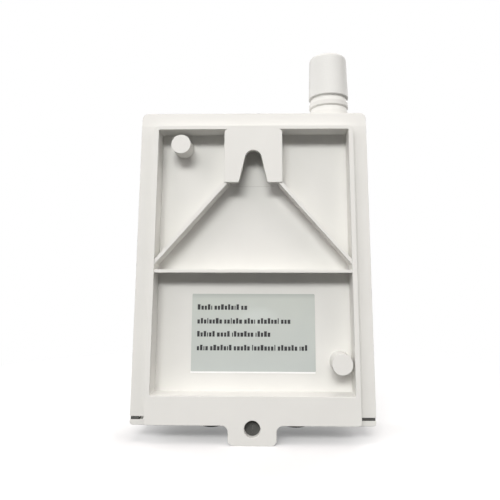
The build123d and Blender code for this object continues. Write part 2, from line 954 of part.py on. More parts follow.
def module_pad():
    """The foam pad that carries the module's free upper end."""
    x, y, z = module_span()
    top = z[1] - pad_from_module_top
    sides = (x[0] + pad_from_module_side, x[1] - pad_from_module_side)
    return block(sides, (y_board_front, y[0]), (top - pad_height, top))


def receiver_chip():
    """The radio chip on the module."""
    x, y, z = module_span()
    return chip((sum(x) / 2, z[0] + module_chip_up), receiver_chip_size, receiver_chip_legs, y[1])


def crystal_can():
    """The frequency crystal in its flat metal can, with a rim at its foot."""
    x, y, z = module_span()
    middle = sum(x) / 2
    low = z[0] + crystal_up
    half = crystal_length / 2
    end_round = crystal_width * crystal_end_share
    span = [(middle - half, middle + half), (low, low + crystal_width)]
    shape = rounded_block(span[0], (y[1], y[1] + crystal_height), span[1], end_round)
    rim = grown(span, crystal_rim)
    return shape + rounded_block(rim[0], (y[1], y[1] + crystal_rim), rim[1], end_round + crystal_rim)


def tuning_place():
    """X and Z of the tuning can's middle, and the Y of its top."""
    x, y, z = module_span()
    return sum(x) / 2, z[1] - coil_can_from_top - coil_can_side / 2, y[1] + coil_can_height


def tuning_coil():
    """The square tuning can with a well for its slug."""
    x, z, top = tuning_place()
    half = coil_can_side / 2
    can = block((x - half, x + half), (top - coil_can_height, top), (z - half, z + half))
    return can - rod_y(coil_slug_radius, x, z, top - coil_slug_depth, top + past)


def tuning_slug():
    """The slotted slug in the tuning can."""
    x, z, top = tuning_place()
    y_top = top - coil_slug_sunk
    slug = rod_y(coil_slug_radius - coil_slug_play, x, z, top - coil_slug_depth, y_top)
    half = coil_slug_slot / 2
    reach = coil_slug_radius + past
    cut = (y_top - coil_slug_slot, y_top + past)
    return slug - block((x - reach, x + reach), cut, (z - half, z + half))


def learn_switch():
    """The square push switch on the board, with the hole for its plunger."""
    half = switch_side / 2
    y_top = y_board_front + switch_height
    sides = (button_x - half, button_x + half)
    body = block(sides, (y_board_front, y_top), (button_z - half, button_z + half))
    hole = plunger_radius + plunger_play
    return body - rod_y(hole, button_x, button_z, y_board_front + plunger_foot, y_top + past)


def switch_plunger():
    """The round plunger of the push switch."""
    y_low = y_board_front + plunger_foot + press_travel + part_gap
    return rod_y(plunger_radius, button_x, button_z, y_low, y_plunger_top)


def status_led():
    """The round lamp below the light pipe."""
    x = button_x + led_from_button
    lamp = rod_y(led_radius, x, button_z, y_board_front, y_led_top)
    lamp = fillet(lamp.edges().group_by(Axis.Y)[-1], led_radius * led_dome_share)
    return lamp + rod_y(led_radius + led_rim, x, button_z, y_board_front, y_board_front + led_rim_height)


def header_places():
    """X of each header pin, and their Z."""
    x, z = on_board("jumper")
    return [x + header_pitch * (i - (header_ways - 1) / 2) for i in range(header_ways)], z


def jumper_header():
    """The pin header: a plastic strip and its square pins."""
    xs, z = header_places()
    half = header_pitch / 2
    y_strip = y_board_front + header_pitch
    strip = block((xs[0] - half, xs[-1] + half), (y_board_front, y_strip), (z - half, z + half))
    side = header_pin / 2
    for x in xs:
        pin = (y_board_front, y_strip + header_pin_height)
        strip += block((x - side, x + side), pin, (z - side, z + side))
    return strip


def jumper_cap():
    """The link that bridges the first two pins."""
    xs, z = header_places()
    half = header_pitch / 2 - cap_side_gap
    low = y_board_front + header_pitch + cap_above_base
    cap = block((xs[0] - half, xs[1] + half), (low, low + cap_height), (z - half, z + half))
    side = header_pin / 2 + cap_play
    for x in xs[:2]:
        cap -= block((x - side, x + side), (low - past, low + cap_height + past), (z - side, z + side))
    return cap


def antenna_clip():
    """The leaf on the board's top edge that touches the antenna pin from behind."""
    y_pad = y_board_front + leaf_thickness
    y_leaf = antenna_depth - pin_radius - leaf_gap
    x = (antenna_x - leaf_width / 2, antenna_x + leaf_width / 2)
    pad = block(x, (y_board_front, y_pad), (z_board_top - leaf_pad_length, z_board_top + leaf_thickness))
    over = block(x, (y_leaf - leaf_thickness, y_pad), (z_board_top, z_board_top + leaf_thickness))
    leaf = block(x, (y_leaf - leaf_thickness, y_leaf), (z_board_top, z_board_top + leaf_rise))
    return pad + over + leaf


def front_cover():
    """The front shell with its rear lip, screw pillars, antenna neck and lower notch for a driver."""
    cover = block((-x_cover, x_cover), (flange_step, housing_depth), (z_end_low, z_cover_top))
    cover = fillet(cover.edges().filter_by(Axis.Y), cover_corner)
    front = cover.faces().sort_by(Axis.Y)[-1]
    cover = fillet(front.edges(), front_edge_radius)
    inner = x_cover - cover_wall
    cover -= block(
        (-inner, inner),
        (flange_step + lip_thickness, y_cover_inner),
        (z_end_low + cover_wall, z_cover_top - cover_wall),
    )
    reach = x_cover + past
    cover -= block((-reach, reach), (flange_step - past, y_cover_inner), (z_end_low - past, z_slot_top))
    x_open = x_tray + part_gap
    tray_room = block(
        (-x_open, x_open),
        (flange_step - past, flange_step + lip_thickness + overlap),
        (z_end_low - past, z_tray_top + part_gap),
    )
    top_corners = [(-x_open, z_tray_top + part_gap), (x_open, z_tray_top + part_gap)]
    cover -= fillet(edges_at(tray_room, Axis.Y, top_corners), tray_corner)
    cover -= top_rim_wedge(reach)
    for x, z in (upper_boss, lower_boss):
        cover += rod_y(pillar_radius, x, z, y_floor_front + part_gap, y_cover_inner + overlap)
        cover -= rod_y(screw_head_radius + head_play, x, z, y_screw_seat, housing_depth + past)
        cover -= rod_y(screw_hole_radius, x, z, 0, y_screw_seat + past)
    through = (y_cover_inner - past, housing_depth + past)
    cover -= rod_y(button_radius + button_play, button_x, button_z, *through)
    cover -= rod_y(pipe_radius, button_x + led_from_button, button_z, *through)
    cover -= rod_y(driver_channel_radius, 0, 0, *through)
    panel_top = button_z - panel_below_button
    cover -= rounded_block(
        (-panel_width / 2, panel_width / 2),
        (housing_depth - panel_depth, housing_depth + past),
        (panel_top - panel_height, panel_top),
        panel_corner,
    )
    cover += antenna_neck()
    hole = (z_cover_top - cover_wall - past, z_cover_top + neck_height + past)
    return cover - rod_z(pin_radius + pin_play, antenna_x, antenna_depth, *hole)


def top_rim_wedge(reach):
    """The wedge that is cut off the rim above the tray, so that its back face slopes up to the top wall."""
    low = z_tray_top + part_gap
    high = z_cover_top + past
    points = [
        (flange_step, low),
        (flange_step - past, low),
        (flange_step - past, high),
        (flange_step + top_rim_drop, high),
        (flange_step + top_rim_drop, z_cover_top),
    ]
    outline = make_face(Polyline([(-reach, y, z) for y, z in points], close=True))
    return extrude(outline, amount=2 * reach, dir=(1, 0, 0))


def antenna_neck():
    """The stepped neck on the top wall that carries the antenna stub."""
    points = [
        (0, -overlap),
        (neck_foot_radius, -overlap),
        (neck_foot_radius, 0),
        (neck_shoulder_radius, neck_shoulder_height),
        (neck_top_radius, neck_height),
        (0, neck_height),
    ]
    return turned(points, antenna_x, antenna_depth, z_cover_top)


def antenna_collar():
    """The ringed collar between the neck and the cap, with the spigot that carries the cap."""
    ring = collar_ring_height
    points = [
        (pin_radius + pin_play, 0),
        (collar_ring_radius - collar_edge, 0),
        (collar_ring_radius, collar_edge),
        (collar_ring_radius, ring),
        (collar_top_radius, collar_height - collar_top_edge),
        (collar_top_radius - collar_top_edge, collar_height),
        (spigot_radius, collar_height),
        (spigot_radius, collar_height + spigot_height),
        (spigot_bore_radius, collar_height + spigot_height),
        (spigot_bore_radius, collar_floor),
        (pin_radius + pin_play, collar_floor),
    ]
    return turned(points, antenna_x, antenna_depth, z_cover_top + neck_height)


def antenna_cap():
    """The hollow cap of the stub, slightly tapered, with a round top."""
    z_low = z_cover_top + neck_height + collar_height + cap_gap
    bore = spigot_radius + cap_fit
    points = [
        (bore, 0),
        (cap_foot_radius - cap_foot_edge, 0),
        (cap_foot_radius, cap_foot_edge),
        (cap_top_radius, cap_length),
        (0, cap_length),
        (0, cap_length - cap_wall),
        (bore - cap_bore_slope, cap_length - cap_wall),
        (bore, cap_length - cap_wall - cap_bore_slope),
    ]
    cap = turned(points, antenna_x, antenna_depth, z_low)
    return fillet(cap.edges().group_by(Axis.Z)[-1], cap_round)


def antenna_pin():
    """The pin that leads the aerial coil down to the leaf on the board."""
    z_seat = z_cover_top + neck_height + collar_floor
    z_low = z_cover_top - cover_wall - pin_below_top_wall
    pin = rod_z(pin_radius, antenna_x, antenna_depth, z_low, z_seat)
    return pin + rod_z(pin_head_radius, antenna_x, antenna_depth, z_seat, z_seat + pin_head_height)


def aerial_coil():
    """The aerial's open coil, which stands on the pin's head inside the cap."""
    height = helix_pitch * helix_turns
    path = Helix(pitch=helix_pitch, height=height, radius=helix_radius)
    start = path @ 0
    section = Plane(origin=start, z_dir=path % 0) * Circle(helix_wire_radius)
    coil = sweep(section, path=path)
    points = [path @ (i / coil_samples) for i in range(coil_samples + 1)]
    half_turn = coil_samples // (2 * helix_turns)
    apart = [
        (points[i] - points[j]).length
        for i in range(coil_samples + 1)
        for j in range(i + half_turn, coil_samples + 1)
    ]
    print(f"aerial coil: least gap to itself {min(apart) - 2 * helix_wire_radius:.2f} mm")
    z_seat = z_cover_top + neck_height + collar_floor + pin_head_height
    return Pos(antenna_x, antenna_depth, z_seat + helix_wire_radius) * coil


def learn_button():
    """The round button in the cover, with its inner flange and long stem."""
    y_top = housing_depth + button_proud
    y_flange = y_cover_inner - flange_gap
    y_back = y_flange - button_flange_thickness
    button = rod_y(button_radius, button_x, button_z, y_back, y_top)
    button = fillet(button.edges().group_by(Axis.Y)[-1], button_edge)
    button += rod_y(button_flange_radius, button_x, button_z, y_back, y_flange)
    return button + rod_y(stem_radius, button_x, button_z, y_plunger_top + stem_gap, y_flange)


def light_pipe():
    """The clear pipe from the lamp to the cover's face."""
    x = button_x + led_from_button
    y_low = y_led_top + pipe_above_led
    pipe = rod_y(pipe_radius, x, button_z, y_low, housing_depth + pipe_proud)
    pipe = fillet(pipe.edges().group_by(Axis.Y)[-1], pipe_proud)
    flange = (y_cover_inner - pipe_flange_thickness, y_cover_inner)
    return pipe + rod_y(pipe_flange_radius, x, button_z, *flange)


def cover_screw(place):
    """One of the two screws that hold the cover on the tray's bosses."""
    x, z = place
    y_top = y_screw_seat + screw_head_height
    screw = rod_y(screw_radius, x, z, y_screw_seat - screw_length, y_screw_seat)
    head = rod_y(screw_head_radius, x, z, y_screw_seat, y_top)
    head = fillet(head.edges().group_by(Axis.Y)[-1], screw_head_height / 2)
    return cross_recess(screw + head, x, z, y_top, cross_width, cross_depth)


def resistors():
    """The small resistors, in a column beside the relay."""
    x, z = on_board("lowest_resistor")
    sizes = (resistor_radius, resistor_length, resistor_span, resistor_lift)
    return [axial_piece(x, z + resistor_pitch * i, *sizes) for i in range(resistor_count)]


def rectifier_diodes():
    """The diodes of the supply's bridge, in a column."""
    x, z = on_board("lowest_diode")
    sizes = (diode_radius, diode_length, diode_span, diode_lift)
    return [axial_piece(x, z + diode_pitch * i, *sizes) for i in range(diode_count)]


def ceramic_capacitors():
    """The small disc capacitors beside the chips."""
    x, z = on_board("lowest_disc")
    sizes = (disc_radius, disc_thickness, disc_lift)
    return [disc_piece(x, z + disc_pitch * i, *sizes) for i in range(disc_count)]


supply_x = -x_grommet
nodes = {
    "rear_tray": rear_tray(),
    "rating_label": rating_label(),
    "cable_grommet_left": cable_grommet(-x_grommet),
    "cable_grommet_right": cable_grommet(x_grommet),
    "circuit_board": circuit_board(),
    "board_screws": board_screws(),
    "supply_terminal": terminal_block(supply_x, supply_ways),
    "supply_terminal_cages": terminal_cages(supply_x, supply_ways),
    "relay_terminal": terminal_block(relay_terminal_x, relay_ways),
    "relay_terminal_cages": terminal_cages(relay_terminal_x, relay_ways),
    "relay_case": relay_case(),
    "relay_frame": relay_frame(),
    "relay_coil": relay_coil(),
    "relay_armature": relay_armature(),
    "microcontroller": chip(on_board("microcontroller"), microcontroller_size, microcontroller_legs),
    "memory_chip": chip(on_board("memory_chip"), memory_chip_size, memory_chip_legs),
    "receiver_board": block(*module_span()),
    "receiver_pin_strip": module_strip(),
    "receiver_pad": module_pad(),
    "receiver_chip": receiver_chip(),
    "crystal_can": crystal_can(),
    "tuning_coil": tuning_coil(),
    "tuning_slug": tuning_slug(),
    "smoothing_capacitor": radial_can(
        on_board("smoothing_capacitor"), smoothing_capacitor_radius, smoothing_capacitor_height
    ),
    "filter_capacitor": radial_can(
        on_board("filter_capacitor"), filter_capacitor_radius, filter_capacitor_height
    ),
    "rectifier_diodes": rectifier_diodes(),
    "voltage_regulator": voltage_regulator(),
    "surge_varistor": disc_piece(
        *on_board("surge_varistor"), varistor_radius, varistor_thickness, varistor_lift
    ),
    "fuse_clips": fuse_clips(),
    "fuse_link": fuse_link(),
    "driver_transistor": driver_transistor(),
    "resistors": resistors(),
    "ceramic_capacitors": ceramic_capacitors(),
    "learn_switch": learn_switch(),
    "switch_plunger": switch_plunger(),
    "status_led": status_led(),
    "jumper_header": jumper_header(),
    "jumper_cap": jumper_cap(),
    "antenna_clip": antenna_clip(),
    "front_cover": front_cover(),
    "learn_button": learn_button(),
    "light_pipe": light_pipe(),
    "cover_screw_upper": cover_screw(upper_boss),
    "cover_screw_lower": cover_screw(lower_boss),
    "antenna_collar": antenna_collar(),
    "antenna_cap": antenna_cap(),
    "antenna_pin": antenna_pin(),
    "aerial_coil": aerial_coil(),
}
terminals = {"supply": (supply_x, supply_ways), "relay": (relay_terminal_x, relay_ways)}
for terminal, (centre, ways) in terminals.items():
    for number, x in enumerate(way_places(centre, ways), 1):
        nodes[f"{terminal}_terminal_screw_{number}"] = terminal_screw(x)

os.makedirs("parts", exist_ok=True)
for name, shape in nodes.items():
    solids = Compound(children=list(shape)) if isinstance(shape, list) else shape
    export_step(solids, f"parts/{name}.step")
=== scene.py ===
"""A wall-mounted radio receiver, seen from its back: finishes, fine pieces, light and camera."""

import logging
import math
from dataclasses import dataclass
from enum import Enum
from functools import cache, cached_property
from itertools import cycle
from typing import Any, ClassVar, Iterable, Optional, Sequence, Union

import bmesh
import bpy
from bpy.types import Material, Node, NodeSocket, Object, World
from mathutils import Matrix, Vector


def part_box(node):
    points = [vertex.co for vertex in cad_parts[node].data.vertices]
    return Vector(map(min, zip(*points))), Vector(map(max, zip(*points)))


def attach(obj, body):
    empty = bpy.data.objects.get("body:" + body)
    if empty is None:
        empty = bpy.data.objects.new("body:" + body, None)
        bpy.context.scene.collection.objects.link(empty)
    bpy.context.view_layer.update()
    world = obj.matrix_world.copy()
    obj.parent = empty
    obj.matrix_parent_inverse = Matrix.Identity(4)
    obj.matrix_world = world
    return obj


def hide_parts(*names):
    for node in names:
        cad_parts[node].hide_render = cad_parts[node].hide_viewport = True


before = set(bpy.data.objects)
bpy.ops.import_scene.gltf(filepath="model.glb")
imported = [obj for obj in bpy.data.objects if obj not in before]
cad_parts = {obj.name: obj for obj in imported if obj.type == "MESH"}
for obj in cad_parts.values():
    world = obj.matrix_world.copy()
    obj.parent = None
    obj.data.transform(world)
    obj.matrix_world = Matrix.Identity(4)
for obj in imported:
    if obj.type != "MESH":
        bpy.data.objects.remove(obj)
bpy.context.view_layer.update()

log = logging.getLogger("radio_receiver")

Colour = tuple[float, float, float]
Pair = tuple[float, float]
Point = tuple[float, float, float]
Edges = list[bmesh.types.BMEdge]
Value = Union[float, Sequence[float], NodeSocket, None]

MM = 0.001
UP = Vector((0.0, 0.0, 1.0))
PLAIN_WHITE = (1.0, 1.0, 1.0)

# Most of a noise's grey values lie between these.
NOISE_LOW, NOISE_HIGH = 0.3, 0.7

# Corners closer than this, in metres, become one.
WELD = 1e-7

# Faces that meet at more than this keep a sharp edge.
SHARP_ANGLE = math.radians(32)

# A bevel's round profile, and how much of a ring's thickness its edge rounds off.
ROUND_PROFILE = 0.5
RING_ROUNDING = 0.2

# How far print lies below and above its face.
PRINT_BELOW = 0.01
PRINT_ABOVE = 0.02
CASE_PRINT_ABOVE = 0.012

# Spacings of the pins and of the small legs.
PIN_PITCH = 2.54
LEG_PITCH = 1.27

# How many segments go round a piece, from the widest to the thinnest.
WIDE_STEPS, ROUND_STEPS, TUBE_STEPS, SMALL_STEPS, LEG_STEPS, WIRE_STEPS = 64, 48, 40, 20, 16, 12

# Rays that look for an edge which seems rounded.
EDGE_SAMPLES = 6


class Body(Enum):
    """The moving bodies that new pieces ride on."""

    BASE = "base"
    COVER = "cover"


class Axis(Enum):
    """Directions that a round piece can stand along."""

    X = (1.0, 0.0, 0.0)
    Y = (0.0, 1.0, 0.0)
    Z = (0.0, 0.0, 1.0)


def placed(name: str, data: bpy.types.ID) -> Object:
    """Puts a new object into the scene.

    Args:
        name: its name.
        data: its mesh, light or camera.

    Returns:
        The object.
    """
    made = bpy.data.objects.new(name, data)
    bpy.context.scene.collection.objects.link(made)
    return made


def dimmed(colour: Colour, share: float) -> Colour:
    """Gives a colour at a share of its strength."""
    return tuple(c * share for c in colour)


class Graph:
    """The node tree of a material or of the surroundings, filled by a few short calls."""

    def __init__(self, owner: Union[Material, World], output: str = "ShaderNodeOutputMaterial") -> None:
        """Starts an empty tree.

        Args:
            owner: what the tree belongs to.
            output: the type of its last node.
        """
        owner.use_nodes = True
        self.owner = owner
        self.tree = owner.node_tree
        self.tree.nodes.clear()
        self.output = self.node(output)

    @cached_property
    def place(self) -> NodeSocket:
        """The piece's own coordinates."""
        return self.node("ShaderNodeTexCoord").outputs["Object"]

    @cached_property
    def axes(self) -> bpy.types.bpy_prop_collection:
        """Each of the piece's coordinates by itself, in metres."""
        return self.node("ShaderNodeSeparateXYZ", {"Vector": self.place}).outputs

    def node(self, kind: str, inputs: Optional[dict[Any, Value]] = None, **settings: Any) -> Node:
        """Adds a node.

        Args:
            kind: the node's type.
            inputs: values or sockets for its inputs, by name or number.
            settings: the node's own properties.

        Returns:
            The new node.
        """
        node = self.tree.nodes.new(kind)
        for key, value in settings.items():
            setattr(node, key, value)
        for key, value in (inputs or {}).items():
            socket = node.inputs[key]
            if isinstance(value, NodeSocket):
                self.tree.links.new(value, socket)
            elif value is not None:
                socket.default_value = (*value, 1.0) if socket.type == "RGBA" else value
        return node

    def noise(self, size_mm: float, detail: float = 2.0, at: Optional[NodeSocket] = None) -> NodeSocket:
        """Makes cloudy variation."""
        wanted = {"Vector": at or self.place, "Scale": 1.0 / (size_mm * MM), "Detail": detail}
        return self.node("ShaderNodeTexNoise", wanted).outputs["Fac"]

    def ramp(
        self, value: NodeSocket, low: float, high: float, start: float = 0.0, end: float = 1.0
    ) -> NodeSocket:
        """Stretches one range of a grey value to another, and holds it there."""
        wanted = {"Value": value, "From Min": low, "From Max": high, "To Min": start, "To Max": end}
        return self.node("ShaderNodeMapRange", wanted, clamp=True).outputs["Result"]

    def drift(self, size_mm: float, start: float, end: float, detail: float = 2.0) -> NodeSocket:
        """Lets a value drift between two levels from place to place."""
        return self.ramp(self.noise(size_mm, detail), NOISE_LOW, NOISE_HIGH, start, end)

    def maths(self, operation: str, first: Value, second: Value = None) -> NodeSocket:
        """Works out one sum on grey values."""
        return self.node("ShaderNodeMath", {0: first, 1: second}, operation=operation).outputs[0]

    def mix(self, share: Value, first: Value, second: Value) -> NodeSocket:
        """Blends two colours; the node keeps its sockets for them at these numbers."""
        return self.node("ShaderNodeMix", {0: share, 6: first, 7: second}, data_type="RGBA").outputs[2]

    def bump(self, height: NodeSocket, depth_mm: float, edge_mm: float = 0.0) -> NodeSocket:
        """Turns a grey value into fine relief.

        Args:
            height: the relief.
            depth_mm: its depth.
            edge_mm: the radius by which sharp edges look rounded, if they do.

        Returns:
            The normal's socket.
        """
        wanted = {"Height": height, "Distance": depth_mm * MM, "Strength": 1.0}
        if edge_mm:
            edge = {"Radius": edge_mm * MM}
            wanted["Normal"] = self.node("ShaderNodeBevel", edge, samples=EDGE_SAMPLES).outputs["Normal"]
        return self.node("ShaderNodeBump", wanted).outputs["Normal"]

    def close(self, shader: NodeSocket) -> None:
        """Ends the tree."""
        self.tree.links.new(shader, self.output.inputs["Surface"])


@dataclass(frozen=True)
class Finish:
    """What every finish has: its name, and its colour in linear values."""

    name: str
    colour: Colour

    def surface(self, g: Graph) -> dict[str, Value]:
        """Gives the surface shader's values; every finish has its own."""
        raise NotImplementedError

    @cache
    def material(self) -> Material:
        """Makes the material on its first use.

        Returns:
            The material.
        """
        g = Graph(bpy.data.materials.new(self.name))
        g.close(g.node("ShaderNodeBsdfPrincipled", self.surface(g)).outputs["BSDF"])
        return g.owner

    def dress(self, piece: Object) -> None:
        """Gives a whole piece this finish."""
        piece.data.materials.clear()
        piece.data.materials.append(self.material())


@dataclass(frozen=True)
class MouldedPlastic(Finish):
    """Injection-moulded plastic: drifting colour, fine eroded grain over long waves, perhaps dust."""

    roughness: float = 0.5
    grain_mm: float = 0.22
    grain_depth_mm: float = 0.006
    mottle: float = 0.03
    edge_mm: float = 0.25
    specks: bool = False
    specular: float = 0.35
    dust: ClassVar[Colour] = (0.30, 0.28, 0.25)
    speck_pitch_mm: ClassVar[float] = 11.0
    wave_mm: ClassVar[float] = 9.0
    wave_share: ClassVar[float] = 1.6

    def surface(self, g: Graph) -> dict[str, Value]:
        """Drifting colour with grain, long waves and specks.

        Args:
            g: the node tree.

        Returns:
            The shader's inputs.
        """
        colour = g.mix(g.drift(14.0, 0.0, 1.0, 3.0), self.colour, dimmed(self.colour, 1.0 - self.mottle))
        if self.specks:
            cells = {"Vector": g.place, "Scale": 1.0 / (self.speck_pitch_mm * MM), "Randomness": 1.0}
            near = g.node("ShaderNodeTexVoronoi", cells).outputs["Distance"]
            colour = g.mix(g.ramp(near, 0.010, 0.016, 0.45, 0.0), colour, self.dust)
        waves = g.maths("MULTIPLY", g.noise(self.wave_mm, 1.0), self.wave_share)
        relief = g.maths("ADD", g.noise(self.grain_mm, 4.0), waves)
        return {
            "Base Color": colour,
            "Roughness": g.drift(2.5, self.roughness - 0.05, self.roughness + 0.05),
            "Specular IOR Level": self.specular,
            "Normal": g.bump(relief, self.grain_depth_mm, self.edge_mm),
        }


@dataclass(frozen=True)
class Rubber(Finish):
    """Matt rubber with a dusty bloom."""

    def surface(self, g: Graph) -> dict[str, Value]:
        """Dull and dark, with paler clouds.

        Args:
            g: the node tree.

        Returns:
            The shader's inputs.
        """
        bloom = g.ramp(g.noise(1.6, 4.0), 0.45, 0.75, 0.0, 0.35)
        paler = tuple(min(1.0, c * 2.2 + 0.02) for c in self.colour)
        return {
            "Base Color": g.mix(bloom, self.colour, paler),
            "Roughness": g.drift(0.8, 0.7, 0.9),
            "Specular IOR Level": 0.3,
            "Normal": g.bump(g.noise(0.12, 3.0), 0.008, 0.2),
        }


@dataclass(frozen=True)
class Metal(Finish):
    """Plated or drawn metal, with dull patches and fine rolling marks that are drawn out along Z."""

    roughness: float = 0.3
    tarnish: float = 0.25
    stretch: ClassVar[Colour] = (1.0, 1.0, 14.0)

    def surface(self, g: Graph) -> dict[str, Value]:
        """Bright, with dull patches and drawn-out marks.

        Args:
            g: the node tree.

        Returns:
            The shader's inputs.
        """
        patches = g.ramp(g.noise(1.8, 4.0), 0.4, 0.7)
        along = g.node("ShaderNodeMapping", {"Vector": g.place, "Scale": self.stretch}).outputs[0]
        marks = g.noise(0.5, 3.0, along)
        low, high = self.roughness - 0.07, self.roughness + 0.12
        return {
            "Base Color": g.mix(patches, self.colour, dimmed(self.colour, 1.0 - self.tarnish)),
            "Metallic": 1.0,
            "Roughness": g.ramp(marks, NOISE_LOW, NOISE_HIGH, low, high),
            "Normal": g.bump(marks, 0.002, 0.12),
        }


@dataclass(frozen=True)
class FoilLabel(Finish):
    """Silver-grey label film, painted paler towards the top to even out the rib's shade, with painted shade
    along its upper edge and a painted highlight patch.
    """

    # The colour near the upper edge, painted paler to even out the rib's shade there.
    painted_light_top: Colour
    low_mm: float
    high_mm: float
    # How far the painted shade along the upper edge reaches, in millimetres.
    painted_shade_mm: float = 1.6
    # Where the painted highlight lies, its half width and height, and its colour.
    painted_highlight_at: Pair = (1.5, 32.6)
    painted_highlight_size: Pair = (7.0, 3.4)
    painted_highlight_colour: Colour = (0.64, 0.68, 0.65)

    def surface(self, g: Graph) -> dict[str, Value]:
        """Film painted paler towards the top, with painted shade along the upper edge and one painted
        highlight.

        Args:
            g: the node tree.

        Returns:
            The shader's inputs.
        """
        # Painted light: paler towards the top, to even out the rib's shade.
        up = g.ramp(g.axes["Z"], self.low_mm * MM, self.high_mm * MM)
        cloud = g.ramp(g.noise(12.0, 2.0), 0.35, 0.65, -0.12, 0.12)
        share = g.node("ShaderNodeClamp", {"Value": g.maths("ADD", up, cloud)}).outputs[0]
        relief = g.maths("ADD", g.noise(7.0, 1.0), g.maths("MULTIPLY", g.noise(0.3, 2.0), 0.06))
        squares = []
        for name, centre, reach in zip(("X", "Z"), self.painted_highlight_at, self.painted_highlight_size):
            off = g.maths("SUBTRACT", g.axes[name], centre * MM)
            squares.append(g.maths("POWER", g.maths("MULTIPLY", off, 1.0 / (reach * MM)), 2.0))
        # A painted highlight in one patch.
        painted_highlight = g.ramp(g.maths("ADD", *squares), 0.1, 1.0, 0.45, 0.0)
        # Painted shade along the upper edge.
        rim = g.ramp(g.axes["Z"], (self.high_mm - self.painted_shade_mm) * MM, self.high_mm * MM, 0.0, 0.55)
        film = g.mix(rim, g.mix(share, self.colour, self.painted_light_top), dimmed(self.colour, 0.7))
        return {
            "Base Color": g.mix(painted_highlight, film, self.painted_highlight_colour),
            "Roughness": g.drift(3.0, 0.36, 0.46, 3.0),
            "Normal": g.bump(relief, 0.12),
        }


@dataclass(frozen=True)
class Laminate(Finish):
    """Lacquered glass-fibre board, with tracks that lie under the lacquer at a given pitch."""

    track: Colour
    pitch_mm: float = 2.54
    weave_mm: ClassVar[float] = 3.2

    def surface(self, g: Graph) -> dict[str, Value]:
        """Lacquer over level and upright tracks, with the weave showing faintly.

        Args:
            g: the node tree.

        Returns:
            The shader's inputs.
        """
        tracks = []
        for first, second, step in (("X", "Z", 1.0), ("Z", "X", 1.5)):
            place = g.node("ShaderNodeCombineXYZ", {"X": g.axes[first], "Y": g.axes[second]}).outputs[0]
            row = self.pitch_mm * step * MM
            wanted = {
                "Vector": place,
                "Scale": 1.0,
                "Mortar Size": row * 0.2,
                "Mortar Smooth": 0.1,
                "Brick Width": row * 7.0,
                "Row Height": row,
            }
            bricks = g.node("ShaderNodeTexBrick", wanted, offset=0.37, squash_frequency=3)
            tracks.append(bricks.outputs["Fac"])
        track = g.mix(g.ramp(g.noise(9.0, 0.0), 0.48, 0.5), *tracks)
        wave = {"Vector": g.place, "Scale": 1.0 / (self.weave_mm * MM), "Distortion": 0.6}
        weave = g.maths("MULTIPLY", g.node("ShaderNodeTexWave", wave).outputs["Fac"], 0.15)
        return {
            "Base Color": g.mix(track, g.mix(weave, self.colour, self.track), self.track),
            "Roughness": g.drift(2.0, 0.22, 0.34),
            "Coat Weight": 0.3,
            "Coat Roughness": 0.2,
            "Normal": g.bump(g.maths("ADD", weave, track), 0.02, 0.1),
        }


@dataclass(frozen=True)
class ClearPiece(Finish):
    """Clear glass or plastic with a given index of refraction."""

    roughness: float
    index: float

    def surface(self, g: Graph) -> dict[str, Value]:
        """Clear, with smears and slight waves.

        Args:
            g: the node tree.

        Returns:
            The shader's inputs.
        """
        return {
            "Base Color": self.colour,
            "Roughness": g.drift(1.2, self.roughness, self.roughness + 0.08, 3.0),
            "IOR": self.index,
            "Transmission Weight": 0.85,
            "Normal": g.bump(g.noise(0.9, 1.0), 0.004),
        }


@dataclass(frozen=True)
class Coating(Finish):
    """A dipped or lacquered body, glossy and slightly lumpy."""

    roughness: float = 0.3

    def surface(self, g: Graph) -> dict[str, Value]:
        """Smooth, with soft lumps.

        Args:
            g: the node tree.

        Returns:
            The shader's inputs.
        """
        lumps = g.noise(0.9, 2.0)
        return {
            "Base Color": g.mix(g.ramp(lumps, 0.35, 0.7), self.colour, dimmed(self.colour, 0.8)),
            "Roughness": g.drift(0.5, self.roughness - 0.05, self.roughness + 0.1),
            "Normal": g.bump(lumps, 0.03),
        }


WHITE = MouldedPlastic(
    "white_moulding", (0.74, 0.735, 0.705), 0.6, grain_depth_mm=0.01, specks=True, specular=0.12
)
GRAINED = MouldedPlastic(
    "grained_white_moulding", (0.735, 0.735, 0.71), 0.6, 0.55, 0.06, 0.03, 0.3, specular=0.2
)
BLACK = MouldedPlastic("black_moulding", (0.018, 0.018, 0.018), 0.45, 0.15, 0.004, 0.1, 0.08)
GREEN = MouldedPlastic("green_terminal_moulding", (0.05, 0.25, 0.10), 0.45, 0.2, 0.005, 0.08, 0.15)
BLUE = MouldedPlastic("blue_relay_moulding", (0.03, 0.08, 0.26), 0.35, 0.2, 0.004, 0.06, 0.2)
GREY = MouldedPlastic("grey_button_moulding", (0.28, 0.29, 0.30), 0.45, 0.2, 0.005, 0.05, 0.2)
PANEL = MouldedPlastic("pale_panel_film", (0.50, 0.53, 0.53), 0.42, 0.3, 0.003, 0.02, 0.05)
BACKING = MouldedPlastic("white_label_backing", (0.92, 0.92, 0.91), 0.5, 0.2, 0.002, 0.01, 0.05)
MOULD_LINE = MouldedPlastic("mould_line", (0.46, 0.44, 0.41), 0.6)
RUBBER = Rubber("black_grommet_rubber", (0.014, 0.013, 0.011))
FOAM = Rubber("dark_pad_foam", (0.03, 0.03, 0.03))
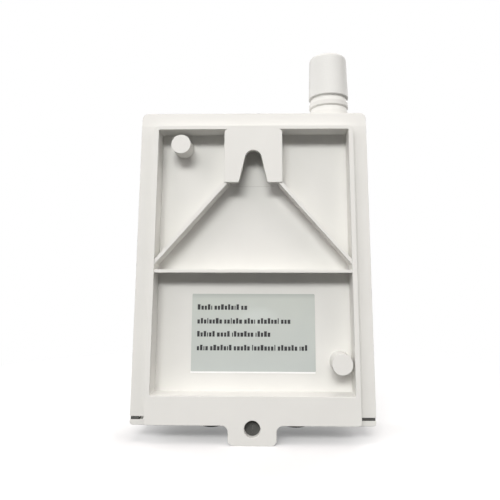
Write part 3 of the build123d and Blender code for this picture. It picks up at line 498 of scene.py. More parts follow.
# Dark grey rubber whose colour paints the shade in the end slots and behind the ear's hole.
PAINTED_SHADE_RUBBER = Rubber("painted_shade_rubber", (0.085, 0.085, 0.08))
STEEL = Metal("zinc_plated_steel", (0.56, 0.57, 0.58), 0.3)
BRASS = Metal("plated_brass", (0.70, 0.56, 0.30), 0.28)
CAN = Metal("drawn_can", (0.66, 0.67, 0.68), 0.22, 0.12)
COPPER = Metal("enamelled_copper", (0.50, 0.19, 0.07), 0.35)
SOLDER = Metal("bright_solder", (0.74, 0.75, 0.76), 0.2, 0.1)
BARE_CAN = Metal("bare_aluminium", (0.70, 0.71, 0.72), 0.34, 0.1)
TIN = Metal("tinned_copper", (0.72, 0.71, 0.68), 0.24, 0.15)
BAND_GOLD = Metal("gold_band_paint", (0.62, 0.43, 0.14), 0.38)
# The second colour is the label's top, painted paler to even out the rib's shade.
LABEL = FoilLabel("silver_label_film", (0.485, 0.518, 0.497), (0.55, 0.58, 0.54), 15.4, 39.8)
FERRITE = Coating("grey_ferrite", (0.05, 0.05, 0.055), 0.6)
INK = Coating("dark_print", (0.02, 0.02, 0.022), 0.5)
BOARD_INK = Coating("white_board_print", (0.62, 0.63, 0.60), 0.6)
CASE_INK = Coating("pale_case_print", (0.42, 0.44, 0.47), 0.55)
BAND_BROWN = Coating("brown_band_paint", (0.10, 0.035, 0.012), 0.35)
BAND_BLACK = Coating("black_band_paint", (0.012, 0.012, 0.012), 0.35)
BAND_RED = Coating("red_band_paint", (0.42, 0.02, 0.012), 0.35)
SILVER_BAND = Coating("silver_band_paint", (0.55, 0.55, 0.54), 0.4)
PANEL_LINE = Coating("grey_panel_line", (0.16, 0.18, 0.20), 0.5)
SLEEVE = Coating("dark_capacitor_sleeve", (0.012, 0.016, 0.06), 0.25)
VARISTOR = Coating("blue_dipped_coating", (0.02, 0.09, 0.30), 0.3)
DISC = Coating("ochre_dipped_coating", (0.48, 0.20, 0.04), 0.35)
LACQUER = Coating("beige_resistor_lacquer", (0.52, 0.38, 0.22), 0.3)
RESIN = Coating("red_lamp_resin", (0.55, 0.03, 0.02), 0.12)
BOARD = Laminate("green_board_lacquer", (0.010, 0.075, 0.030), (0.022, 0.16, 0.062))
MODULE = Laminate("blue_board_lacquer", (0.008, 0.022, 0.10), (0.018, 0.055, 0.20), 1.8)
GLASS = ClearPiece("fuse_glass", (0.95, 0.97, 0.96), 0.02, 1.5)
CLEAR = ClearPiece("clear_pipe_plastic", (0.95, 0.96, 0.96), 0.08, 1.49)


class Box:
    """Where a CAD node lies, in millimetres."""

    def __init__(self, node: str) -> None:
        """Reads the node's corners, and works out its middle, its size and the middle of its foot.

        Args:
            node: the node's name.
        """
        low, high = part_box(node)
        self.low: Vector = low / MM
        self.high: Vector = high / MM
        self.middle: Vector = (self.low + self.high) / 2
        self.size: Vector = self.high - self.low
        self.foot = (self.middle.x, self.middle.y, self.low.z)


class Shape:
    """A mesh that is being built, with all its sizes in millimetres."""

    def __init__(self) -> None:
        """Starts an empty mesh."""
        self.mesh = bmesh.new()

    def bevel(self, edges: Edges, width: float, segments: int) -> None:
        """Rounds edges.

        Args:
            edges: the edges.
            width: the bevel's width.
            segments: its segments.
        """
        bmesh.ops.bevel(
            self.mesh,
            geom=edges,
            offset=width * MM,
            affect="EDGES",
            segments=segments,
            profile=ROUND_PROFILE,
            material=-1,
            clamp_overlap=True,
        )

    def block(
        self, low: Sequence[float], high: Sequence[float], rounding: float = 0.0, segments: int = 2
    ) -> Edges:
        """Adds a box.

        Args:
            low: its lowest corner.
            high: its highest corner.
            rounding: the width of the bevel along its edges.
            segments: the bevel's segments.

        Returns:
            The box's edges, where they aren't bevelled.
        """
        size = [(b - a) * MM for a, b in zip(low, high)]
        middle = [(a + b) / 2 * MM for a, b in zip(low, high)]
        place = Matrix.Translation(middle) @ Matrix.Diagonal((*size, 1.0))
        made = bmesh.ops.create_cube(self.mesh, size=1.0, matrix=place)
        edges = list({e for v in made["verts"] for e in v.link_edges})
        if rounding > 0.0:
            self.bevel(edges, rounding, segments)
            return []
        return edges

    def turned(
        self, profile: Iterable[Pair], centre: Sequence[float], axis: Axis = Axis.Z, steps: int = ROUND_STEPS
    ) -> None:
        """Adds a profile that is spun about an axis.

        Args:
            profile: radius and height of each point.
            centre: where height is 0 on the axis.
            axis: the direction of height.
            steps: the number of segments round it.
        """
        turn = UP.rotation_difference(Vector(axis.value)).to_matrix().to_4x4()
        place = Matrix.Translation([c * MM for c in centre]) @ turn
        verts = [self.mesh.verts.new(place @ Vector((r * MM, 0.0, h * MM))) for r, h in profile]
        edges = [self.mesh.edges.new(pair) for pair in zip(verts, verts[1:])]
        bmesh.ops.spin(
            self.mesh,
            geom=verts + edges,
            cent=place.to_translation(),
            axis=place.to_3x3() @ UP,
            angle=2 * math.pi,
            steps=steps,
            use_merge=True,
        )
        bmesh.ops.remove_doubles(self.mesh, verts=self.mesh.verts[:], dist=WELD)

    def ring(self, radii: Pair, span: Pair, centre: Sequence[float], axis: Axis, steps: int = 32) -> None:
        """Adds a closed ring, or a disc where the inner radius is 0.

        Args:
            radii: its inner and outer radius.
            span: where it starts and ends along the axis.
            centre: where the span is 0.
            axis: the ring's axis.
            steps: the number of segments round it.
        """
        (inner, outer), (low, high) = radii, span
        rounding = min(high - low, outer - inner) * RING_ROUNDING
        profile = [
            (inner, low),
            (outer - rounding, low),
            (outer, low + rounding),
            (outer, high - rounding),
            (outer - rounding, high),
            (inner, high),
        ]
        self.turned(profile + (profile[:1] if inner > 0.0 else []), centre, axis, steps)

    def outline(self, low: Sequence[float], high: Sequence[float], face: float, width: float) -> None:
        """Adds a thin printed rectangle on a face square to Y.

        Args:
            low: its lower left corner, in X and Z.
            high: its upper right corner.
            face: the depth of the face that it lies on.
            width: the width of its lines.
        """
        spans = (
            (low, (high[0], low[1] + width)),
            ((low[0], high[1] - width), high),
            ((low[0], low[1] + width), (low[0] + width, high[1] - width)),
            ((high[0] - width, low[1] + width), (high[0], high[1] - width)),
        )
        for first, last in spans:
            self.block((first[0], face - PRINT_BELOW, first[1]), (last[0], face + PRINT_ABOVE, last[1]))

    def cut(self, point: Vector, away: Vector) -> None:
        """Cuts off all that lies beyond a plane, and closes the cut.

        Args:
            point: a point on the plane.
            away: the direction of what goes.
        """
        whole = self.mesh.verts[:] + self.mesh.edges[:] + self.mesh.faces[:]
        bmesh.ops.bisect_plane(self.mesh, geom=whole, plane_co=point * MM, plane_no=away, clear_outer=True)
        bmesh.ops.holes_fill(self.mesh, edges=self.mesh.edges[:], sides=0)

    def take(self, other: "Shape") -> None:
        """Takes in another shape, which is used up.

        Args:
            other: the other shape.
        """
        held = bpy.data.meshes.new("held")
        other.mesh.to_mesh(held)
        other.mesh.free()
        self.mesh.from_mesh(held)
        bpy.data.meshes.remove(held)


@dataclass
class Assembly:
    """A sub-assembly, which dresses its CAD nodes and adds fine pieces that ride on its body."""

    body: ClassVar[Body] = Body.BASE
    nodes: ClassVar[tuple[tuple[Finish, tuple[str, ...]], ...]] = ()

    def build(self) -> None:
        """Dresses the nodes, then adds the fine pieces."""
        for finish, names in self.nodes:
            for name in names:
                finish.dress(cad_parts[name])
                log.info("%s: dressed in %s", name, finish.name)
        self.add_pieces()

    def add_pieces(self) -> None:
        """Adds the fine pieces; every sub-assembly has its own."""
        raise NotImplementedError

    def add(self, name: str, shape: Shape, finish: Finish, slot: str, smooth: bool = True) -> Object:
        """Turns a finished shape into a piece that rides on the sub-assembly's body.

        Args:
            name: the piece's name.
            shape: its shape, which is used up.
            finish: its finish.
            slot: the record's material slot; not used.
            smooth: whether its faces shade smoothly up to sharp edges.

        Returns:
            The new object.
        """
        mesh = shape.mesh
        bmesh.ops.remove_doubles(mesh, verts=mesh.verts[:], dist=WELD)
        bmesh.ops.recalc_face_normals(mesh, faces=mesh.faces[:])
        for face in mesh.faces:
            face.smooth = smooth
        for edge in mesh.edges:
            sharp = len(edge.link_faces) == 2 and edge.calc_face_angle(0.0) > SHARP_ANGLE
            edge.smooth = not (smooth and sharp)
        data = bpy.data.meshes.new(name)
        mesh.to_mesh(data)
        mesh.free()
        made = placed(name, data)
        finish.dress(made)
        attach(made, self.body.value)
        count = sum(len(face.vertices) - 2 for face in data.polygons)
        log.info("%s: %d triangles, rides on %s", name, count, self.body.value)
        return made


@dataclass
class WallTray(Assembly):
    """The wall part with its label and grommets.

    Attributes:
        rows: the print rows, as the height of their foot and their length.
        words: how many marks stand together, taken in turn.
        backing_shows: how far the label's white backing shows below it.
        strips: the dark strips whose colour paints the shade in the end slots, and the mould's line on the
            recess
        floor, as their name, lowest and highest corner, rounding, finish and slot.
        flap_radius: the radius of the slit dark disc behind the ear's hole, whose colour paints the hole's
            shade.
        slit: half the width of its slits.
    """

    rows: tuple[Pair, ...] = ((34.7, 16.6), (30.3, 30.6), (26.2, 24.7), (21.9, 35.4))
    row_start: float = -18.2
    mark_widths: tuple[float, ...] = (0.9, 0.8, 0.72, 0.8, 0.34, 0.8, 0.72)
    mark_heights: tuple[float, ...] = (1.75, 1.3, 1.3, 1.75, 1.3, 1.3, 1.3, 1.75, 1.3)
    mark_depth: Pair = (6.83, 6.86)
    mark_corner: float = 0.08
    words: tuple[int, ...] = (5, 8, 6, 4, 7)
    mark_gap: float = 0.3
    word_gap: float = 0.75
    backing_depth: Pair = (6.88, 7.01)
    backing_shift: float = -0.1
    backing_shows: float = 0.52
    backing_lap: float = 0.02
    strips: tuple[tuple[str, Point, Point, float, Finish, str], ...] = (
        # Dark strips whose colour paints the shade in the end slots, then the mould's line.
        ("end_slot_painted_shade_left", (-37.55, 2.5, 1.9), (-34.95, 29.4, 2.92), 0.15, PAINTED_SHADE_RUBBER, "black_rubber"),
        ("end_slot_painted_shade_right", (33.05, 2.5, 1.9), (37.55, 29.4, 2.92), 0.15, PAINTED_SHADE_RUBBER, "black_rubber"),
        ("mould_line", (-7.0, 6.97, 75.6), (7.0, 7.01, 75.66), 0.0, MOULD_LINE, "white_plastic"),
    )
    flap_radius: float = 3.3
    flap_depth: Pair = (2.52, 2.95)
    slit: float = 0.01
    lip_radii: Pair = (2.3, 2.75)
    lip_height: float = 0.5
    nodes: ClassVar = (
        (WHITE, ("rear_tray",)),
        (LABEL, ("rating_label",)),
        (RUBBER, ("cable_grommet_left", "cable_grommet_right")),
    )

    def add_pieces(self) -> None:
        """Adds the grommets' lips, the print, the dark pieces whose colour paints the shade in the end slots
        and the ear's hole, and the fine lines.
        """
        for side in ("left", "right"):
            lip = Shape()
            foot = Box(f"cable_grommet_{side}").foot
            lip.ring(self.lip_radii, (0.0, self.lip_height), foot, Axis.Z, ROUND_STEPS)
            self.add(f"grommet_lip_{side}", lip, RUBBER, "black_rubber")
        self.add_print()
        self.add_label_edge()
        self.add_strips()
        self.add_hole_painted_shade()

    def add_print(self) -> None:
        """Lays generic rows of small solid marks on the label."""
        shape = Shape()
        near, far = self.mark_depth
        marks = zip(cycle(self.mark_widths), cycle(self.mark_heights))
        for number, (foot, length) in enumerate(self.rows):
            words = cycle(self.words[number:] + self.words[:number])
            place = self.row_start
            left = next(words)
            while place < self.row_start + length - self.mark_gap:
                width, height = next(marks)
                low, high = (place, near, foot), (place + width, far, foot + height)
                shape.block(low, high, self.mark_corner, 1)
                place += width + self.mark_gap
                left -= 1
                if left == 0:
                    left = next(words)
                    place += self.word_gap - self.mark_gap
        self.add("label_rows", shape, INK, "label_film", smooth=False)

    def add_label_edge(self) -> None:
        """Lays the thin strip of white backing that shows below the label."""
        box = Box("rating_label")
        near, far = self.backing_depth
        left, right = box.low.x + self.backing_shift, box.high.x + self.backing_shift
        foot, top = box.low.z - self.backing_shows, box.low.z + self.backing_lap
        shape = Shape()
        shape.block((left, near, foot), (right, far, top))
        self.add("label_backing", shape, BACKING, "label_film", smooth=False)

    def add_strips(self) -> None:
        """Lays the plain strips."""
        for name, low, high, rounding, finish, slot in self.strips:
            shape = Shape()
            shape.block(low, high, rounding)
            self.add(name, shape, finish, slot, smooth=rounding > 0.0)

    def add_hole_painted_shade(self) -> None:
        """Lays a thin slit disc of dark rubber behind the ear's hole, whose colour paints the shade seen
        through the hole.
        """
        shape = Shape()
        for across in (-1.0, 1.0):
            for up in (-1.0, 1.0):
                flap = Shape()
                flap.ring((0.0, self.flap_radius), self.flap_depth, Vector(), Axis.Y, ROUND_STEPS)
                for side in (Vector((across, 0.0, 0.0)), Vector((0.0, 0.0, up))):
                    flap.cut(side * self.slit, -side)
                shape.take(flap)
        self.add("ear_hole_painted_shade", shape, PAINTED_SHADE_RUBBER, "black_rubber")


@dataclass
class FrontShell(Assembly):
    """The cover with its antenna stub, button, pipe and screws."""

    panel_low: Pair = (-25.7, 31.2)
    panel_high: Pair = (25.7, 60.6)
    panel_depth: Pair = (31.58, 31.75)
    panel_corner: float = 2.8
    corner_segments: int = 8
    border_inset: float = 2.4
    border_width: float = 0.35
    ring_radii: Pair = (2.7, 3.0)
    ring_depth: Pair = (31.98, 32.015)
    seat_radii: Pair = (5.22, 6.45)
    seat_span: Pair = (-0.42, 0.02)
    body: ClassVar[Body] = Body.COVER
    nodes: ClassVar = (
        (WHITE, ("front_cover", "antenna_collar")),
        (GRAINED, ("antenna_cap",)),
        (GREY, ("learn_button",)),
        (CLEAR, ("light_pipe",)),
        (STEEL, ("cover_screw_upper", "cover_screw_lower")),
        (BRASS, ("antenna_pin", "aerial_coil")),
    )

    def add_pieces(self) -> None:
        """Adds the panel, the ring round the light pipe and the shim under the cap."""
        self.add_panel()
        pipe = Box("light_pipe").middle
        mark = Shape()
        mark.ring(self.ring_radii, self.ring_depth, (pipe.x, 0.0, pipe.z), Axis.Y, WIDE_STEPS)
        self.add("light_ring_print", mark, PANEL_LINE, "white_plastic", smooth=False)
        seat = Shape()
        seat.ring(self.seat_radii, self.seat_span, Box("antenna_cap").foot, Axis.Z, WIDE_STEPS)
        self.add("antenna_cap_seat", seat, WHITE, "white_plastic")

    def add_panel(self) -> None:
        """Lays a plain film with a thin border in the front's recess."""
        (left, foot), (right, top) = self.panel_low, self.panel_high
        back, face = self.panel_depth
        shape = Shape()
        edges = shape.block((left, back, foot), (right, face, top))
        upright = [e for e in edges if abs((e.verts[0].co - e.verts[1].co).y) > WELD]
        shape.bevel(upright, self.panel_corner, self.corner_segments)
        self.add("front_panel_film", shape, PANEL, "white_plastic")
        line = Shape()
        inset = self.border_inset
        corner, far = (left + inset, foot + inset), (right - inset, top - inset)
        line.outline(corner, far, face, self.border_width)
        self.add("front_panel_border", line, PANEL_LINE, "white_plastic", smooth=False)


@dataclass(frozen=True)
class Row:
    """Round parts that lie one above another in one CAD node, each with painted bands."""

    node: str
    pitch: float
    axis_depth: float
    band_radii: Pair
    steps: int
    count: int = 4

    def thickness(self) -> float:
        """Works out one part's thickness."""
        return Box(self.node).size.z - self.pitch * (self.count - 1)

    def heights(self) -> list[float]:
        """Works out where the parts' axes lie."""
        first = Box(self.node).low.z + self.thickness() / 2
        return [first + self.pitch * i for i in range(self.count)]

    def band(self, span: Pair) -> Shape:
        """Makes one painted band on every part.

        Args:
            span: where it starts and ends along the parts.

        Returns:
            The bands.
        """
        shape = Shape()
        across = Box(self.node).middle.x
        for height in self.heights():
            shape.ring(self.band_radii, span, (across, self.axis_depth, height), Axis.X, self.steps)
        return shape


RESISTORS = Row("resistors", 3.4, 14.7, (0.9, 1.02), 24)
DIODES = Row("rectifier_diodes", 3.8, 15.1, (1.2, 1.37), 32)


@dataclass
class CircuitBoard(Assembly):
    """The main board, the radio module and all that stands on them.

    Attributes:
        face: the depth of the board's front.
        module_face: the depth of the radio module's front.
        print_low: how far down and left the board's print may reach, in X and Z.
        bands: the resistors' bands, as the finish and the place along the body.
        cap_mouth: points of a fuse cap from its mouth on, as the depth below its radius and the way along.
        cap_end: points up to its closed end, measured from there.
        legs: leads in the board, as their node, their places in X and Z from its middle, and the
            radius of their pads.
        chips: the chips, as their node, their legs on a side, their thickness, and whether they
            stand on the radio module.
        holes: rows of plated holes, as X and Z of the first, and their spacing.
        solder: a joint's profile, as shares of its pad's radius, and heights.
        pin_solder: the same at the module's pins, as radii and heights.
    """

    face: float = 13.4
    module_face: float = 16.9
    print_low: Pair = (-29.8, 12.2)
    print_high: Pair = (29.8, 83.7)
    line: float = 0.18
    module_line: float = 0.14
    line_gap: float = 0.35
    outlined: tuple[str, ...] = (
        "supply_terminal",
        "relay_terminal",
        "relay_case",
        "microcontroller",
        "memory_chip",
        "learn_switch",
        "jumper_header",
        "surge_varistor",
        "voltage_regulator",
        "driver_transistor",
        "fuse_link",
    )
    module_outlined: tuple[str, ...] = ("receiver_chip", "crystal_can", "tuning_coil")
    bands: tuple[tuple[Finish, float], ...] = (
        (BAND_BROWN, -1.45),
        (BAND_BLACK, -0.65),
        (BAND_RED, 0.15),
        (BAND_GOLD, 1.35),
    )
    band_reach: float = 0.2
    diode_band: Pair = (1.1, 1.7)
    cap_length: float = 5.0
    cap_wall: float = 0.34
    cap_bottom: float = 0.3
    cap_mouth: tuple[Pair, ...] = ((0.02, 0.0), (0.0, 0.15), (0.0, 0.8), (0.12, 1.0), (0.0, 1.2))
    cap_end: tuple[Pair, ...] = ((0.0, 0.5), (0.15, 0.15), (0.5, 0.0))
    tube_inset: float = 0.4
    tube_walls: Pair = (0.9, 0.35)
    wire_radius: float = 0.12
    wire_inset: float = 1.0
    lid_inset: float = 0.75
    lid_span: Pair = (-0.05, 0.04)
    vent_reach: float = 0.55
    vent_half: float = 0.07
    vent_heights: Pair = (0.05, 0.051)
    stripe_insets: Pair = (3.2, 0.9)
    stripe_walls: Pair = (-0.1, 0.02)
    stripe_from: float = 0.8
    chip_bars: tuple[float, ...] = (1.0, 0.7, 0.85)
    chip_bar_size: Pair = (0.07, 0.28)
    chip_bar_start: float = 0.2
    chip_bar_step: float = 0.17
    chip_dot_place: Pair = (0.27, 0.12)
    chip_dot_radius: float = 0.35
    legs: tuple[tuple[str, tuple[float, ...], tuple[float, ...], float], ...] = (
        ("surge_varistor", (-2.25, 2.25), (0.0,), 0.8),
        ("ceramic_capacitors", (-1.0, 1.0), (-1.8, 1.8), 0.65),
        ("voltage_regulator", (-PIN_PITCH, 0.0, PIN_PITCH), (0.0,), 0.95),
        ("driver_transistor", (-LEG_PITCH, 0.0, LEG_PITCH), (0.602415,), 0.5),
    )
    chips: tuple[tuple[str, int, float, bool], ...] = (
        ("microcontroller", 9, 2.4, False),
        ("memory_chip", 4, 1.6, False),
        ("receiver_chip", 7, 1.6, True),
    )
    case_rows: tuple[tuple[float, ...], ...] = ((3.5, 2.2, 4.0), (6.0, 1.5), (2.4, 2.4, 3.0))
    case_row_start: Pair = (2.2, 3.0)
    case_row_step: float = 2.6
    case_bar_width: float = 1.2
    case_bar_gap: float = 0.9
    round_gap: float = 0.4
    row_gap: float = 0.25
    row_inset: float = 1.3
    module_gap: float = 0.3
    lead_inset: float = 0.35
    lead_pad: float = 0.75
    holes: tuple[Point, ...] = ((3.0, 47.2, 1.9), (-8.5, 63.5, 1.6), (16.4, 76.8, 1.8))
    header_face: float = 15.96
    regulator_foot: float = 15.88
    skin: float = 0.01
    wire_leg_radius: float = 0.27
    wire_leg_length: float = 1.98
    chip_gap: float = 0.1
    leg_thickness: float = 0.25
    leg_half: float = 0.237
    hole_count: int = 6
    hole_radii: Pair = (0.22, 0.5)
    hole_rim: float = 0.03
    solder: tuple[Pair, ...] = ((0.0, 0.0), (1.0, 0.0), (1.0, 0.03), (0.7, 0.12), (0.5, 0.4), (0.0, 0.42))
    pin_solder: tuple[Pair, ...] = ((0.0, 0.0), (0.8, 0.0), (0.8, 0.03), (0.45, 0.3), (0.3, 0.75), (0.0, 0.8))
    nodes: ClassVar = (
        (BOARD, ("circuit_board",)),
        (STEEL, ("board_screws", "relay_frame", "relay_armature")),
        (STEEL, tuple(f"supply_terminal_screw_{i}" for i in (1, 2))),
        (STEEL, tuple(f"relay_terminal_screw_{i}" for i in (1, 2, 3))),
        (GREEN, ("supply_terminal", "relay_terminal")),
        (BRASS, ("supply_terminal_cages", "relay_terminal_cages", "fuse_clips", "antenna_clip")),
        (BLUE, ("relay_case",)),
        (COPPER, ("relay_coil",)),
        (BLACK, ("microcontroller", "memory_chip", "receiver_chip", "receiver_pin_strip")),
        (BLACK, ("rectifier_diodes", "voltage_regulator", "driver_transistor")),
        (BLACK, ("learn_switch", "jumper_header", "jumper_cap")),
        (MODULE, ("receiver_board",)),
        (FOAM, ("receiver_pad",)),
        (CAN, ("crystal_can", "tuning_coil")),
        (FERRITE, ("tuning_slug",)),
        (SLEEVE, ("smoothing_capacitor", "filter_capacitor")),
        (VARISTOR, ("surge_varistor",)),
        (LACQUER, ("resistors",)),
        (DISC, ("ceramic_capacitors",)),
        (GREY, ("switch_plunger",)),
        (RESIN, ("status_led",)),
    )

    def add_pieces(self) -> None:
        """Adds the fuse, the paint and print, the solder and the bare metal."""
        self.add_fuse()
        for finish, place in self.bands:
            band = RESISTORS.band((place - self.band_reach, place + self.band_reach))
            self.add(f"resistor_{finish.name}", band, finish, "component_body")
        self.add("diode_bands", DIODES.band(self.diode_band), SILVER_BAND, "component_body")
        for name in ("smoothing_capacitor", "filter_capacitor"):
            self.add_capacitor_top(name)
        self.add_case_print()
        self.add_board_print()
        self.add_solder()
        self.add_bare_metal()

    def add_fuse(self) -> None:
        """Builds the fuse as a glass tube with two rolled caps and a thin wire, in the node's place."""
        box = Box("fuse_link")
        radius, half = box.size.z / 2, box.size.x / 2
        tube = Shape()
        end = half - self.tube_inset
        inner, outer = (radius - wall for wall in self.tube_walls)
        tube.ring((inner, outer), (-end, end), box.middle, Axis.X, TUBE_STEPS)
        glass = self.add("fuse_tube", tube, GLASS, "fuse_glass")
        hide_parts("fuse_link")
        caps = Shape()
        for side in (-1.0, 1.0):
            outer = side * half
            inner = outer - side * self.cap_length
            mouth = (radius - self.cap_wall, inner)
            bottom = outer - side * self.cap_bottom
            profile = [mouth]
            profile += [(radius - below, inner + side * along) for below, along in self.cap_mouth]
            profile += [(radius - below, outer - side * along) for below, along in self.cap_end]
            profile += [(0.0, outer), (0.0, bottom), (radius - self.cap_wall, bottom), mouth]
            caps.turned(profile, box.middle, Axis.X, TUBE_STEPS)
        self.add("fuse_caps", caps, TIN, "fuse_glass")
        wire = Shape()
        reach = half - self.wire_inset
        wire.ring((0.0, self.wire_radius), (-reach, reach), box.middle, Axis.X, WIRE_STEPS)
        self.add("fuse_wire", wire, TIN, "fuse_glass")

    def add_capacitor_top(self, name: str) -> None:
        """Adds a capacitor's bare top with its scored vent, and its polarity stripe.

        Args:
            name: the capacitor's node.
        """
        box = Box(name)
        radius, top = box.size.x / 2, box.high.y
        x, z = box.middle.x, box.middle.z
        lid = Shape()
        lid.ring((0.0, radius - self.lid_inset), self.lid_span, (x, top, z), Axis.Y, ROUND_STEPS)
        self.add(f"{name}_lid", lid, BARE_CAN, "capacitor_sleeve")
        vent = Shape()
        arm = (radius * self.vent_reach, self.vent_half)
        # One groove stands a hair higher, so that no two faces share a plane where they cross.
        for (across, up), above in zip((arm, arm[::-1]), self.vent_heights):
            vent.block((x - across, top, z - up), (x + across, top + above, z + up))
        self.add(f"{name}_vent", vent, FERRITE, "capacitor_sleeve", smooth=False)
        stripe = Shape()
        span = (box.low.y + self.stripe_insets[0], top - self.stripe_insets[1])
        inner, outer = (radius + wall for wall in self.stripe_walls)
        stripe.ring((inner, outer), span, (x, 0.0, z), Axis.Y, WIDE_STEPS)
        stripe.cut(Vector((x + radius * self.stripe_from, 0.0, 0.0)), Vector((-1.0, 0.0, 0.0)))
        self.add(f"{name}_stripe", stripe, CASE_INK, "capacitor_sleeve")

    def add_case_print(self) -> None:
        """Prints generic bars and a first-leg dot on each chip, and bars on the relay's case."""
        shape = Shape()
        wide, half = self.chip_bar_size
        aside, up = self.chip_dot_place
        for name, *_ in self.chips:
            box = Box(name)
            across, top, high = box.size.x, box.high.y, box.size.z
            foot = box.middle.z - high * half
            for i, share in enumerate(self.chip_bars):
                x = box.middle.x + across * (i * self.chip_bar_step - self.chip_bar_start)
                far = (x + across * wide, top + PRINT_BELOW, foot + 2 * high * half * share)
                shape.block((x, top - PRINT_BELOW, foot), far)
            dot = (box.middle.x - across * aside, top, box.low.z + high * up)
            span = (-PRINT_BELOW, CASE_PRINT_ABOVE)
            shape.ring((0.0, self.chip_dot_radius), span, dot, Axis.Y, SMALL_STEPS)
        box = Box("relay_case")
        top = box.high.y
        for row, lengths in enumerate(self.case_rows):
            left = box.low.x + self.case_row_start[0] + row * self.case_row_step
            start = box.low.z + self.case_row_start[1]
            for length in lengths:
                far = (left + self.case_bar_width, top + CASE_PRINT_ABOVE, start + length)
                shape.block((left, top - PRINT_BELOW, start), far)
                start += length + self.case_bar_gap
        self.add("case_print", shape, CASE_INK, "component_body", smooth=False)

    def outline_node(self, shape: Shape, name: str, gap: float, face: float, width: float) -> None:
        """Prints an outline round a node, and keeps it on the board.

        Args:
            shape: what it is added to.
            name: the node's name.
            gap: how far the line stands off the node.
            face: the depth of the face that it lies on.
            width: the line's width.
        """
        box = Box(name)
        (left, foot), (right, top) = self.print_low, self.print_high
        corner = (max(box.low.x - gap, left), max(box.low.z - gap, foot))
        far = (min(box.high.x + gap, right), min(box.high.z + gap, top))
        shape.outline(corner, far, face, width)

    def add_board_print(self) -> None:
        """Prints the outlines of the pieces on both boards."""
        shape = Shape()
        for name in self.outlined:
            self.outline_node(shape, name, self.line_gap, self.face, self.line)
        for name in ("smoothing_capacitor", "filter_capacitor", "status_led"):
            box = Box(name)
            radius = box.size.x / 2 + self.round_gap
            centre = (box.middle.x, self.face, box.middle.z)
            radii = (radius, radius + self.line)
            shape.ring(radii, (-PRINT_BELOW, PRINT_ABOVE), centre, Axis.Y, ROUND_STEPS)
        for row in (RESISTORS, DIODES):
            box = Box(row.node)
            reach = row.thickness() / 2 + self.row_gap
            left, right = box.low.x + self.row_inset, box.high.x - self.row_inset
            for height in row.heights():
                shape.outline((left, height - reach), (right, height + reach), self.face, self.line)
        self.outline_node(shape, "receiver_board", self.module_gap, self.face, self.line)
        for name in self.module_outlined:
            self.outline_node(shape, name, self.line_gap, self.module_face, self.module_line)
        self.add("board_print", shape, BOARD_INK, "board_laminate", smooth=False)

    def leads(self) -> list[Point]:
        """Lists the leads that are soldered to the main board.

        Returns:
            X and Z of each lead, and the radius of its pad.
        """
        found = []
        for row in (RESISTORS, DIODES):
            box = Box(row.node)
            ends = (box.low.x + self.lead_inset, box.high.x - self.lead_inset)
            found += [(x, height, self.lead_pad) for height in row.heights() for x in ends]
        for name, across, up, radius in self.legs:
            middle = Box(name).middle
            found += [(middle.x + x, middle.z + z, radius) for x in across for z in up]
        return found

    def add_solder(self) -> None:
        """Adds a small cone of solder where each lead meets the board, and rows of plated holes."""
        shape = Shape()
        for x, z, radius in self.leads():
            profile = [(radius * share, height) for share, height in self.solder]
            shape.turned(profile, (x, self.face, z), Axis.Y, SMALL_STEPS)
        span = (-PRINT_BELOW, self.hole_rim)
        for i in range(self.hole_count):
            for x, z, pitch in self.holes:
                centre = (x + pitch * i, self.face, z)
                shape.ring(self.hole_radii, span, centre, Axis.Y, SMALL_STEPS)
        middle = Box("receiver_pin_strip").middle
        for i in range(-2, 3):
            centre = (middle.x + i * PIN_PITCH, self.module_face, middle.z)
            shape.turned(self.pin_solder, centre, Axis.Y, SMALL_STEPS)
        self.add("solder_joints", shape, SOLDER, "plated_steel")

    def add_bare_metal(self) -> None:
        """Sheathes the pins and legs that are one CAD node with a plastic body in bright metal."""
        shape = Shape()
        header, regulator = Box("jumper_header"), Box("voltage_regulator")
        # Each node's box, the pins' span in depth, half their width and height, and their bevel.
        pins = (
            (header, self.header_face, header.high.y + self.skin, 0.325, 0.325, 0.08),
            (regulator, self.face, self.regulator_foot, 0.42, 0.32, 0.06),
        )
        for box, near, far, across, up, rounding in pins:
            z = box.middle.z
            for i in (-1, 0, 1):
                x = box.middle.x + i * PIN_PITCH
                shape.block((x - across, near, z - up), (x + across, far, z + up), rounding, 1)
        name, places, (up,), _ = self.legs[-1]
        middle = Box(name).middle
        for x in places:
            centre = (middle.x + x, self.face, middle.z + up)
            span = (0.0, self.wire_leg_length)
            shape.ring((0.0, self.wire_leg_radius), span, centre, Axis.Y, LEG_STEPS)
        self.add_leg_sheaths(shape)
        self.add("bright_legs", shape, TIN, "plated_steel")

    def add_leg_sheaths(self, shape: Shape) -> None:
        """Covers the chips' bent legs with thin bright skins.

        Args:
            shape: what they are added to.
        """
        for name, count, height, on_module in self.chips:
            foot = self.module_face if on_module else self.face
            box = Box(name)
            knee = foot + self.chip_gap + height / 2 + self.leg_thickness / 2
            for i in range(count):
                z = box.middle.z + LEG_PITCH * (i - (count - 1) / 2)
                for side in (-1.0, 1.0):
                    toe = box.middle.x + side * box.size.x / 2
                    # The level part at the body, the upright part, and the foot on its pad.
                    parts = (
                        ((-1.0, -0.5), knee - 0.26, knee + 0.012),
                        ((-0.762, -0.488), foot, knee + 0.011),
                        ((-0.762, 0.012), foot, foot + 0.262),
                    )
                    for reach, near, far in parts:
                        left, right = sorted(toe + side * along for along in reach)
                        low = (left, near, z - self.leg_half)
                        shape.block(low, (right, far, z + self.leg_half))


